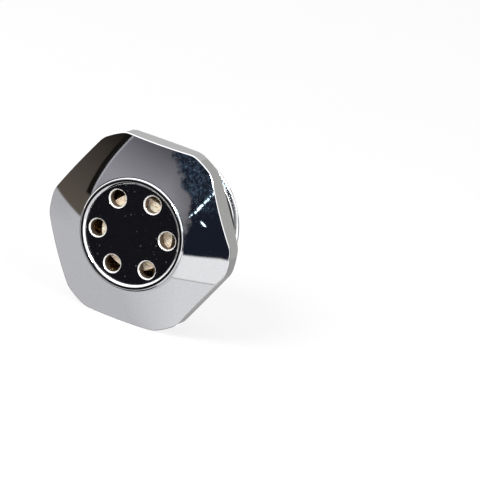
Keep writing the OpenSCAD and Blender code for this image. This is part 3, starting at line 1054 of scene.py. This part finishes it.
def valve_head():
    recess_r = pad_r + fit
    section = [
        (stem_r + fit, head_high), (valve_head_r - valve_head_chamfer, head_high),
        (valve_head_r, head_high - valve_head_chamfer), (valve_head_r, head_low),
        (recess_r, head_low), (recess_r, pad_top), (0, pad_top), (0, stem_low),
        (stem_r + fit, stem_low),
    ]
    return turned("head_cup", section, [brass], radius=0.04, columns=96)


lay(pressure_plate(), "valve", "plain_brass", "pressure_plate")
lay(valve_stem(), "valve", "plain_brass", "valve_stem")
lay(valve_head(), "valve", "plain_brass", "valve_head")
pad_section = [(0, pad_low), (pad_r, pad_low), (pad_r, pad_top), (0, pad_top)]
pad = turned("pad_moulded", pad_section, [pad_rubber], radius=0.08, columns=96)
lay(pad, "valve", "pad_rubber", "seat_pad")

# %% [markdown]
# The clip is spring wire rolled flat and bent to an open ring. It is the section of a washer carried
# round most of a turn, with a flat cap at each end.

# %% Stem clip
clip_split = 1.6
CLIP_COLUMNS = 72


def stem_clip():
    inner = stem_r - groove + fit
    section = rounded([(inner, clip_low), (clip_r, clip_low), (clip_r, clip_high),
                       (inner, clip_high)], 0.06)
    gap = math.asin(clip_split / 2 / clip_r)
    columns = CLIP_COLUMNS
    rows = revolve(section, columns, gap, (2 * math.pi - 2 * gap) * columns / (columns - 1))
    count = len(section)
    faces = []
    for i in range(count):
        k = (i + 1) % count
        for j in range(columns - 1):
            faces.append((i * columns + j, k * columns + j, k * columns + j + 1, i * columns + j + 1))
    faces.append([i * columns for i in reversed(range(count))])
    faces.append([i * columns + columns - 1 for i in range(count)])
    mesh = bpy.data.meshes.new("clip_ring")
    mesh.from_pydata([tuple(p) for p in rows.reshape(-1, 3)], [], faces)
    return on_bench(close_mesh(mesh), "clip_ring", [steel])


lay(stem_clip(), "valve", "spring_steel", "stem_clip")

# %% [markdown]
# The cup is turned in brass. A thin wall with six ribs stands round the discs, a thick one holds the
# seal in its groove, and the floor has a guide for the stem and six windows for the air. The ribs
# stand between the vent holes and keep the discs off the wall, so that air can pass.

# %% Sizes of the cartridge cup
spring_low, spring_high, spring_r = span("return_spring")
seal_low, seal_high, _ = span("cartridge_seal")
stack_top = span("fibre_disc_1")[1]
cup_floor = cup_low + 1.0
wall_r = cup_r - 0.5
step_z = press_low - 1.3
guide_r = 1.55
hub_r = 2.9
hub_top = press_low - collar_t - 1.5
seal_mid = (seal_low + seal_high) / 2
groove_half = (seal_high - seal_low) / 2 + 0.12
groove_r = chamber_r - (seal_high - seal_low) - 2 * fit
lower_wall_r = groove_r - 1.25
window_r = 1.2
window_circle_r = 6.0
rib_depth = 1.85
rib_half = 0.5
rib_root = 0.25
rib_turn = vent_turn + math.radians(30)
print("cup: bore", round(2 * wall_r, 2), "floor at", round(cup_floor, 3))


# %% Cartridge cup
def cartridge_cup():
    section = [
        (guide_r, cup_low), (cup_r, cup_low), (cup_r, seal_mid - groove_half),
        (groove_r, seal_mid - groove_half), (groove_r, seal_mid + groove_half),
        (cup_r, seal_mid + groove_half), (cup_r, cup_high), (wall_r, cup_high), (wall_r, step_z),
        (lower_wall_r, step_z), (lower_wall_r, cup_floor), (hub_r, cup_floor), (hub_r, hub_top),
        (guide_r, hub_top),
    ]
    cup = turned("cup_turned", section, [brass], radius=0.08, columns=160)
    cup = drilled(cup, drill_section(window_r, cup_low, cup_floor), HOLES, window_circle_r, 0.0, brass)
    rib = block("rib", (0, -rib_half, step_z - rib_root),
                (rib_depth + rib_root, rib_half, stack_top), 0.1)
    return worked(cup, rib_tree, rib, HOLES, wall_r - rib_depth, rib_turn, brass)


lay(cartridge_cup(), "housing", "plain_brass", "cartridge_cup")

# %% [markdown]
# A spring is a curve with a rule: it climbs slowly where its end turns lie almost closed, and faster
# between them. The tree bends a straight line of points into that helix and runs a round wire
# along it. The closed length, the pitch and the wire are inputs, so the same tree winds any spring.

# %% Tree: wind a spring
def winding_tree():
    tree, given = new_tree("Wind a spring", {
        "Geometry": "Geometry", "Points": "Int", "Turns": "Float", "Coil radius": "Float",
        "Wire radius": "Float", "Base height": "Float", "Rise": "Float", "Closed turns": "Float",
        "Closed pitch": "Float", "Wire": "Material",
    }, "Spring")
    line = add(tree, "GeometryNodeCurvePrimitiveLine", inputs={"End": (0, 0, 1)})
    fine = add(tree, "GeometryNodeResampleCurve", inputs={
        "Curve": line.outputs[0], "Count": given["Points"],
    })
    along = add(tree, "GeometryNodeSplineParameter").outputs["Factor"]
    turn = figure(tree, "MULTIPLY", along, given["Turns"])
    last_closed = figure(tree, "SUBTRACT", given["Turns"], given["Closed turns"])
    closed_rise = figure(tree, "MULTIPLY", given["Closed turns"], given["Closed pitch"])
    both_ends = figure(tree, "MULTIPLY", closed_rise, 2.0)
    open_rise = figure(tree, "SUBTRACT", given["Rise"], both_ends)

    height = given["Base height"]
    for start, end, rise in (
        (0.0, given["Closed turns"], closed_rise),
        (given["Closed turns"], last_closed, open_rise),
        (last_closed, given["Turns"], closed_rise),
    ):
        height = figure(tree, "ADD", height, between(tree, turn, 0.0, rise, start, end))
    angle = figure(tree, "MULTIPLY", turn, 2 * math.pi)
    x = figure(tree, "MULTIPLY", figure(tree, "COSINE", angle), given["Coil radius"])
    y = figure(tree, "MULTIPLY", figure(tree, "SINE", angle), given["Coil radius"])
    place = add(tree, "ShaderNodeCombineXYZ", inputs={"X": x, "Y": y, "Z": height})
    bent = add(tree, "GeometryNodeSetPosition", inputs={
        "Geometry": fine.outputs[0], "Position": place.outputs[0],
    })
    wound = swept(tree, bent.outputs[0], given["Wire radius"], 14)
    return end_tree(tree, made_real(tree, wound, given["Wire"]))


spring_tree = winding_tree()
print("winding tree:", len(spring_tree.nodes), "nodes")

# %% [markdown]
# This spring has six turns of half a millimetre wire. It stands between the floor of the cup and the
# pressure plate, round the hub that guides the stem.

# %% Return spring
TURNS = 6
POINTS_A_TURN = 36
wire_r = 0.25


def return_spring():
    piece = on_bench(bpy.data.meshes.new("spring_wound"), "spring_wound", [])
    apply_tree(piece, spring_tree, {
        "Points": TURNS * POINTS_A_TURN + 1, "Turns": float(TURNS), "Coil radius": spring_r - wire_r,
        "Wire radius": wire_r, "Base height": spring_low + wire_r,
        "Rise": spring_high - spring_low - 2 * wire_r, "Closed turns": 0.75,
        "Closed pitch": 2.2 * wire_r, "Wire": steel,
    })
    close_mesh(piece.data)
    return piece


spring = lay(return_spring(), "housing", "spring_steel", "return_spring")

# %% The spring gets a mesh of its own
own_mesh(spring)

# %% [markdown]
# The gauze under the cup is woven: wires in two directions that pass over and under each other. The
# tree lays one set of wires as lines of points, lifts every other crossing, cuts the lines to the
# ring and sweeps a wire along what is left. The second set is the first one turned by 90 degrees and
# shifted by one crossing.

# %% Tree: weave a ring of gauze
def weaving_tree():
    tree, given = new_tree("Weave a ring of gauze", {
        "Geometry": "Geometry", "Wires": "Int", "Spacing": "Float", "Wire radius": "Float",
        "Height": "Float", "Outer radius": "Float", "Inner radius": "Float", "Wire": "Material",
    }, "Gauze")

    def compared(kind, first, second):
        made = add(tree, "FunctionNodeCompare", {"operation": kind}, {"A": first, "B": second})
        return made.outputs["Result"]

    gaps = figure(tree, "SUBTRACT", given["Wires"], 1.0)
    reach = figure(tree, "MULTIPLY", gaps, given["Spacing"])
    doubled = figure(tree, "ADD", given["Wires"], gaps)
    grid = add(tree, "GeometryNodeMeshGrid", inputs={
        "Size X": reach, "Size Y": reach, "Vertices X": doubled, "Vertices Y": given["Wires"],
    })
    ends = add(tree, "GeometryNodeInputMeshEdgeVertices")
    run = add(tree, "ShaderNodeVectorMath", {"operation": "SUBTRACT"}, {
        0: ends.outputs["Position 1"], 1: ends.outputs["Position 2"],
    })
    run_parts = add(tree, "ShaderNodeSeparateXYZ", inputs={"Vector": run.outputs[0]})
    crosswise = figure(tree, "ABSOLUTE", run_parts.outputs["Y"])
    lines = add(tree, "GeometryNodeDeleteGeometry", {"domain": "EDGE", "mode": "EDGE_FACE"}, {
        "Geometry": grid.outputs["Mesh"], "Selection": compared("GREATER_THAN", crosswise, 0.0001),
    })
    place = add(tree, "GeometryNodeInputPosition").outputs[0]
    parts = add(tree, "ShaderNodeSeparateXYZ", inputs={"Vector": place})
    column = figure(tree, "DIVIDE", parts.outputs["X"], given["Spacing"])
    row = figure(tree, "DIVIDE", parts.outputs["Y"], given["Spacing"])
    phase = figure(tree, "MULTIPLY", figure(tree, "ADD", column, row), math.pi)
    lift = figure(tree, "MULTIPLY", figure(tree, "COSINE", phase), given["Wire radius"])
    shift = add(tree, "ShaderNodeCombineXYZ", inputs={"Z": lift})
    waved = add(tree, "GeometryNodeSetPosition", inputs={
        "Geometry": lines.outputs[0], "Offset": shift.outputs[0],
    })
    away = distance(tree, parts.outputs["X"], parts.outputs["Y"])
    outside = compared("GREATER_THAN", away, given["Outer radius"])
    in_bore = compared("LESS_THAN", away, given["Inner radius"])
    off = add(tree, "FunctionNodeBooleanMath", {"operation": "OR"}, {0: outside, 1: in_bore})
    trimmed = add(tree, "GeometryNodeDeleteGeometry", {"domain": "POINT"}, {
        "Geometry": waved.outputs[0], "Selection": off.outputs[0],
    })
    curves = add(tree, "GeometryNodeMeshToCurve", inputs={"Mesh": trimmed.outputs[0]})
    warp = swept(tree, curves.outputs[0], given["Wire radius"], 6)
    weft = add(tree, "GeometryNodeTransform", inputs={
        "Geometry": warp, "Rotation": (math.pi, 0, math.pi / 2),
    })
    cloth = add(tree, "GeometryNodeJoinGeometry")
    tree.links.new(warp, cloth.inputs[0])
    tree.links.new(weft.outputs[0], cloth.inputs[0])
    rise = add(tree, "ShaderNodeCombineXYZ", inputs={"Z": given["Height"]})
    moved = add(tree, "GeometryNodeTransform", inputs={
        "Geometry": cloth.outputs[0], "Translation": rise.outputs[0],
    })
    return end_tree(tree, made_real(tree, moved.outputs[0], given["Wire"]))


gauze_tree = weaving_tree()
print("weaving tree:", len(gauze_tree.nodes), "nodes")

# %% [markdown]
# Two wires cross within the thickness of the gauze, so a wire's radius is a quarter of it. The ring
# reaches from the wall of the cup to a gap around the stem.

# %% Filter gauze
gauze_wire_r = (gauze_high - gauze_low) / 4
gauze_spacing = 0.5
gauze_gap = 0.4
gauze_wires = 2 * int(cup_r / gauze_spacing) + 1


def filter_gauze():
    piece = on_bench(bpy.data.meshes.new("gauze_woven"), "gauze_woven", [])
    apply_tree(piece, gauze_tree, {
        "Wires": gauze_wires, "Spacing": gauze_spacing, "Wire radius": gauze_wire_r,
        "Height": (gauze_low + gauze_high) / 2, "Outer radius": cup_r - gauze_wire_r,
        "Inner radius": stem_r + gauze_gap + gauze_wire_r, "Wire": gauze_steel,
    })
    for polygon in piece.data.polygons:
        polygon.use_smooth = True
    return piece


lay(filter_gauze(), "housing", "steel_gauze", "filter_gauze")

# %% [markdown]
# The stage. The floor is a pale sheet just under the plug, which stands on one of its flats. It is
# kept out of mirror reflections, because the chrome gets a studio of its own from the world. For the
# camera part of its light is its own, so that it stays white and still takes a soft shadow.

# %% Floor
FLOOR_SIZE = 6
FLOOR_GLOW = 0.78
floor_z = float(cad_low.z)


def floor_material():
    material = bpy.data.materials.new("floor_paper")
    material.use_nodes = True
    tree = material.node_tree
    tree.nodes.clear()
    place = add(tree, "ShaderNodeTexCoord").outputs["Object"]
    grain = noise(tree, place, 60, 2)
    paper = mixed(tree, grain, (0.86, 0.86, 0.86), (0.90, 0.90, 0.90))
    lit = add(tree, "ShaderNodeBsdfDiffuse", inputs={"Color": paper})
    glow = add(tree, "ShaderNodeEmission", inputs={"Color": (1, 1, 1, 1), "Strength": 1.0})
    rays = add(tree, "ShaderNodeLightPath")
    share = figure(tree, "MULTIPLY", rays.outputs["Is Camera Ray"], FLOOR_GLOW)
    blend = add(tree, "ShaderNodeMixShader", inputs={0: share, 1: lit.outputs[0], 2: glow.outputs[0]})
    out = add(tree, "ShaderNodeOutputMaterial")
    tree.links.new(blend.outputs[0], out.inputs["Surface"])
    return material


bpy.ops.mesh.primitive_plane_add(size=FLOOR_SIZE, location=(0, 0, floor_z))
floor = bpy.context.object
floor.name = "floor"
floor.data.materials.append(floor_material())
floor.visible_glossy = False
print("floor at", round(floor_z / MM, 2), "mm")

# %% [markdown]
# What polished chrome shows is its surroundings, so the studio matters more than the lamps. The world
# is painted by direction: the way round the plug is the compass angle in degrees, from +Y through +X,
# and the height is the elevation. The compass grows to the right as seen from the plug. Chrome shows
# it mirrored, so a larger angle lies further to the left in the picture. Each patch of the studio is
# a share from 0 to 1, worked out from the direction looked in, and a colour.

# %% Helpers for directions
world = bpy.context.scene.world or bpy.data.worlds.new("Studio")
bpy.context.scene.world = world
world.use_nodes = True
sky = world.node_tree
sky.nodes.clear()
way = add(sky, "ShaderNodeTexCoord").outputs["Generated"]
ways = add(sky, "ShaderNodeSeparateXYZ", inputs={"Vector": way})


def calc(kind, first, second=0.0):
    return figure(sky, kind, first, second)


raw_angle = calc("ARCTAN2", ways.outputs["X"], ways.outputs["Y"])
compass = calc("MODULO", calc("ADD", calc("DEGREES", raw_angle), 360.0), 360.0)
elevation = calc("DEGREES", calc("ARCSINE", ways.outputs["Z"]))


def step_up(value, edge, soft):
    """0 below the edge, 1 above it, over a width of soft degrees."""
    return between(sky, value, 0.0, 1.0, edge - soft / 2, edge + soft / 2)


def below(value, edge, soft):
    """1 below the edge, 0 above it."""
    return calc("SUBTRACT", 1.0, step_up(value, edge, soft))


def both(*shares):
    """The product of several shares, which is 1 where all of them are."""
    product = shares[0]
    for share in shares[1:]:
        product = calc("MULTIPLY", product, share)
    return product


def within(value, low, high, soft):
    """1 between two edges."""
    return both(step_up(value, low, soft), below(value, high, soft))


def away_from(west, up):
    """Degrees between a direction, given by compass and elevation, and the one looked in."""
    angle, height = math.radians(west), math.radians(up)
    aim = (math.sin(angle) * math.cos(height), math.cos(angle) * math.cos(height), math.sin(height))
    near = add(sky, "ShaderNodeVectorMath", {"operation": "DOT_PRODUCT"}, {0: way, 1: aim})
    return calc("DEGREES", calc("ARCCOSINE", near.outputs["Value"]))


def patched(ground, *patches):
    """Lays patches, each a share and a colour, over a ground. The last one lies on top."""
    for share, colour in patches:
        ground = mixed(sky, share, ground, colour)
    return ground


# %% [markdown]
# Boards and posts have straight edges. A line runs between two directions, each a compass angle and
# an elevation, and can be moved to the right, as seen from the plug, or up by some degrees.

# %% Helpers for straight edges
def moved(line, right=0.0, up=0.0):
    return tuple((angle + right, height + up) for angle, height in line)


def past_line(line, soft, blur=0.0):
    """0 on the left of the line, seen from the plug along it, and 1 on its right, over a width of
    soft degrees. blur is a socket that moves the line, in degrees."""
    (start, low), (end, high) = line
    run, rise = end - start, high - low
    length = math.hypot(run, rise)
    across = calc("MULTIPLY", calc("SUBTRACT", compass, start), rise / length)
    along = calc("MULTIPLY", calc("SUBTRACT", elevation, low), run / length)
    return step_up(calc("ADD", calc("SUBTRACT", across, along), blur), 0.0, soft)


def streak(line, width):
    """1 on a thin straight line, as long as the line given."""
    (_, low), (_, high) = line
    edges = [past_line(moved(line, side), 0.5) for side in (-width / 2, width / 2)]
    return both(calc("ABSOLUTE", calc("SUBTRACT", *edges)), within(elevation, low, high, 0.6))


print("studio helpers ready, world nodes so far:", len(sky.nodes))

# %% [markdown]
# Below the plug lies a light sheet. Its right part is the brightest, down to a fold with a thin dark
# crease along it. Far round behind the plug, where only the sloping ring, the flats and the back of
# the head can see it, it is partly dark and partly bright. That gives the ring its thin light and
# dark lines.

# %% The light sheet
BLACK = (0.009, 0.008, 0.007)
WHITE = (1.6, 1.6, 1.6)
SHEET_LEFT = (0.54, 0.54, 0.56)
SHEET_DIM = (0.62, 0.62, 0.64)
SHEET_LIGHT = (1.03, 1.03, 1.04)
SHEET_LOW = (0.86, 0.86, 0.88)
CREASE = (0.42, 0.41, 0.39)
BEHIND_LOW = (0.39, 0.39, 0.385)
FOLD = ((140.0, -29.0), (172.0, -31.5))

painted_crease_shade = calc("SUBTRACT", past_line(moved(FOLD, up=0.2), 0.5), past_line(moved(FOLD, up=-0.3), 0.5))
painted_crease_shade = both(calc("ABSOLUTE", painted_crease_shade), below(compass, 178, 8))
dark_left = both(within(compass, 265, 326, 4), below(elevation, -14, 3))
dark_right = both(within(compass, 85, 112, 4), below(elevation, -30, 6))
sheet = mixed(sky, past_line(FOLD, 1.6), SHEET_LIGHT, SHEET_LOW)
sheet = patched(
    sheet,
    (between(sky, compass, 0.0, 1.0, 168, 212), SHEET_DIM),
    (painted_crease_shade, CREASE),
    (both(step_up(compass, 240, 14), step_up(elevation, -20, 8)), SHEET_LEFT),
    (calc("MAXIMUM", dark_left, dark_right), BLACK),
    (within(compass, 326, 345, 6), WHITE),
    (step_up(compass, 349, 4), BEHIND_LOW),
    (below(compass, 36, 8), BEHIND_LOW),
    (within(compass, 38, 84, 6), WHITE),
    (below(elevation, -71, 3), BLACK),
)
print("world nodes with the sheet:", len(sky.nodes))

# %% [markdown]
# To the right of the picture is a dark opening. It has blue patches and sparks high up, where
# something behind it catches a little light, and a slanting slit of lamp light that is broken into
# dashes, with a short one beside it and a round lamp at its top.

# %% The dark opening
OPENING = (0.012, 0.015, 0.026)
OPENING_BLUE = (0.045, 0.075, 0.115)
OPENING_SPARK = (0.24, 0.32, 0.42)
LAMP = (5.0, 6.6, 7.6)
SLIT = ((171.2, 3.4), (161.0, 21.0))
SHORT_SLIT = ((162.3, 0.9), (164.6, 2.6))
SLIT_LAMP = (160.6, 24.5)

speckle = between(sky, noise(sky, way, 30, 5), 0.0, 1.0, 0.48, 0.62)
fine_speckle = between(sky, noise(sky, way, 70, 2), 0.0, 1.0, 0.60, 0.74)
dashes = between(sky, noise(sky, way, 48, 0), 0.0, 1.0, 0.44, 0.52)
slit = calc("MAXIMUM", both(streak(SLIT, 0.8), dashes), streak(SHORT_SLIT, 0.9))
slit = calc("MAXIMUM", slit, below(away_from(*SLIT_LAMP), 1.8, 0.8))
opening = mixed(sky, both(step_up(elevation, 10, 12), speckle), OPENING, OPENING_BLUE)
opening = patched(
    opening,
    (both(step_up(elevation, 13, 8), fine_speckle), OPENING_SPARK),
    (slit, LAMP),
)
print("world nodes with the opening:", len(sky.nodes))

# %% [markdown]
# Left of the opening stands a grey wall that is darker towards the top and beside the opening. Then
# come a thin black post that leans and has a lit edge, and a brown board. The edge of the opening is
# a little wavy, because the chrome is never perfectly true.

# %% The wall, the post and the board
WALL_LOW = (0.36, 0.355, 0.385)
WALL_HIGH = (0.115, 0.115, 0.132)
BOARD_LOW = (0.123, 0.104, 0.085)
BOARD_HIGH = (0.012, 0.010, 0.009)
EDGE = (0.55, 0.55, 0.60)
OPENING_SIDE = ((172.0, -14.0), (172.0, 14.0))
OPENING_TOP = ((172.0, 12.0), (194.0, 33.0))
POST = ((229.9, -3.0), (223.8, 27.5))
POST_W = 3.5
POST_EDGE_W = 0.9

ripple = calc("MULTIPLY", calc("SUBTRACT", noise(sky, way, 9, 4), 0.5), 12.0)
wall = mixed(sky, step_up(elevation, 20, 24), WALL_LOW, WALL_HIGH)
wall = patched(
    wall,
    (between(sky, compass, 0.6, 0.0, 168, 188), BLACK),
    (past_line(moved(POST, right=-POST_EDGE_W), 0.5), EDGE),
)
board = mixed(sky, between(sky, elevation, 0.0, 1.0, -13, 27), BOARD_LOW, BOARD_HIGH)
room = mixed(sky, past_line(OPENING_SIDE, 2.5, ripple), opening, wall)
room = mixed(sky, past_line(OPENING_TOP, 2.0, ripple), opening, room)
past_post = past_line(POST, 0.6)
post_far_side = below(past_line(moved(POST, right=POST_W), 0.8), 0.5, 1.0)
room = patched(
    room,
    (past_post, board),
    (both(past_post, step_up(elevation, -6, 1), post_far_side), BLACK),
)
print("world nodes with the wall, post and board:", len(sky.nodes))

# %% [markdown]
# The dome sees no further than that. What lies beyond is only seen by the ring, the rim, the flats,
# the thread and the end face: white boards beyond the brown one and beyond the opening, pale walls
# behind, a bright ceiling, and one very bright lamp whose glint shows on the ring's upper right. Low
# down, a strip between the opening and its white board stays dark, because the start of the thread
# looks there and is the darkest part of the plug.

# %% What lies beyond
BEHIND_TOP = (0.59, 0.585, 0.575)
BEHIND_RIGHT = (0.475, 0.47, 0.455)
CEILING = (2.0, 2.0, 2.05)
GLINT = (60.0, 57.0, 56.0)
BOARD_SIDE = ((256.0, -2.0), (243.0, 22.0))
BOARD_TOP = ((246.0, 22.0), (200.0, 42.0))
GLINT_LAMP = (142.0, 37.0)

room = patched(
    room,
    (both(below(compass, 146, 3), step_up(elevation, 14, 4)), WHITE),
    (within(compass, 112, 142, 3), WHITE),
    (past_line(BOARD_SIDE, 2.0), WHITE),
    (past_line(BOARD_TOP, 2.0), WHITE),
    (step_up(compass, 318, 10), BEHIND_TOP),
    (below(compass, 62, 10), BEHIND_RIGHT),
    (both(within(compass, 326, 352, 6), below(elevation, 0, 8)), WHITE),
    (step_up(elevation, 42, 4), CEILING),
    (below(away_from(*GLINT_LAMP), 7.0, 2.0), GLINT),
)
print("world nodes with what lies beyond:", len(sky.nodes))

# %% [markdown]
# The sheet meets the room at a horizon that isn't level: it hangs lowest in the middle of the picture.
# The photographer is the dark round shape in front.

# %% Horizon and photographer
HORIZON_RIGHT = -14.6
HORIZON_MIDDLE = -18.4
HORIZON_LEFT = -11.0
PHOTOGRAPHER = (201.1, -16.4)
PHOTOGRAPHER_R = 27.5

horizon = calc("MAXIMUM", between(sky, compass, HORIZON_RIGHT, HORIZON_MIDDLE, 150, 175),
               between(sky, compass, HORIZON_MIDDLE, HORIZON_LEFT, 229, 258))
studio = mixed(sky, step_up(calc("SUBTRACT", elevation, horizon), 0.0, 1.2), sheet, room)
studio = mixed(sky, step_up(away_from(*PHOTOGRAPHER), PHOTOGRAPHER_R, 3), BLACK, studio)
print("world nodes with the horizon:", len(sky.nodes))

# %% [markdown]
# Only mirror rays see that studio. Soft light that falls on matt surfaces comes from an even pale sky
# instead, and the camera sees plain white behind the plug.

# %% Light from the world
rays = add(sky, "ShaderNodeLightPath")
mirror = calc("MAXIMUM", rays.outputs["Is Glossy Ray"], rays.outputs["Is Transmission Ray"])
soft_sky = mixed(sky, rays.outputs["Is Camera Ray"], (0.62, 0.62, 0.63), (1.0, 1.0, 1.0))
seen = mixed(sky, mirror, soft_sky, studio)
backdrop = add(sky, "ShaderNodeBackground", inputs={"Color": seen, "Strength": 1.0})
sky_out = add(sky, "ShaderNodeOutputWorld")
sky.links.new(backdrop.outputs[0], sky_out.inputs["Surface"])
print("world nodes:", len(sky.nodes))

# %% [markdown]
# Two soft lamps shape the matt surfaces and the shadow: a large one above the camera's left, which
# also reaches into the vent holes, and a weaker one from the right. They don't show in the chrome.

# %% Lamps
def soft_lamp(name, place, size, power):
    data = bpy.data.lights.new(name, "AREA")
    data.size = size
    data.energy = power
    lamp = bpy.data.objects.new(name, data)
    bpy.context.scene.collection.objects.link(lamp)
    lamp.location = place
    lamp.rotation_euler = (-Vector(place)).to_track_quat("-Z", "Y").to_euler()
    lamp.visible_glossy = False
    return lamp


key = soft_lamp("key_lamp", (-0.25, -0.75, 0.65), 0.45, 9.0)
fill = soft_lamp("fill_lamp", (0.9, -0.3, 0.5), 0.6, 4.0)
print("lamps:", key.name, fill.name)

# %% [markdown]
# The camera stands where the photographer stood: about 16 degrees above the plug, 21 degrees to its
# right, and rolled by 14 degrees, far away with a long lens. It was worked out from the outline of
# the head, the ring and the six holes.

# %% Camera
CAMERA_AT = Vector((0.32834, -0.79823, 0.25578))
CAMERA_RIGHT = Vector((0.88173, 0.41173, 0.23028))
CAMERA_UP = Vector((-0.3222, 0.16906, 0.93145))
LENS = 315.24

camera_data = bpy.data.cameras.new("camera")
camera_data.lens = LENS
camera_data.sensor_width = 36
camera_data.clip_start = 0.01
camera_data.clip_end = 20
camera = bpy.data.objects.new("camera", camera_data)
bpy.context.scene.collection.objects.link(camera)
camera_back = CAMERA_RIGHT.cross(CAMERA_UP)
turn = Matrix((CAMERA_RIGHT, CAMERA_UP, camera_back)).transposed()
camera.matrix_world = Matrix.Translation(CAMERA_AT) @ turn.to_4x4()
bpy.context.scene.camera = camera
bpy.context.scene.view_settings.view_transform = "Standard"
print("camera", round(CAMERA_AT.length, 3), "m from the plug")
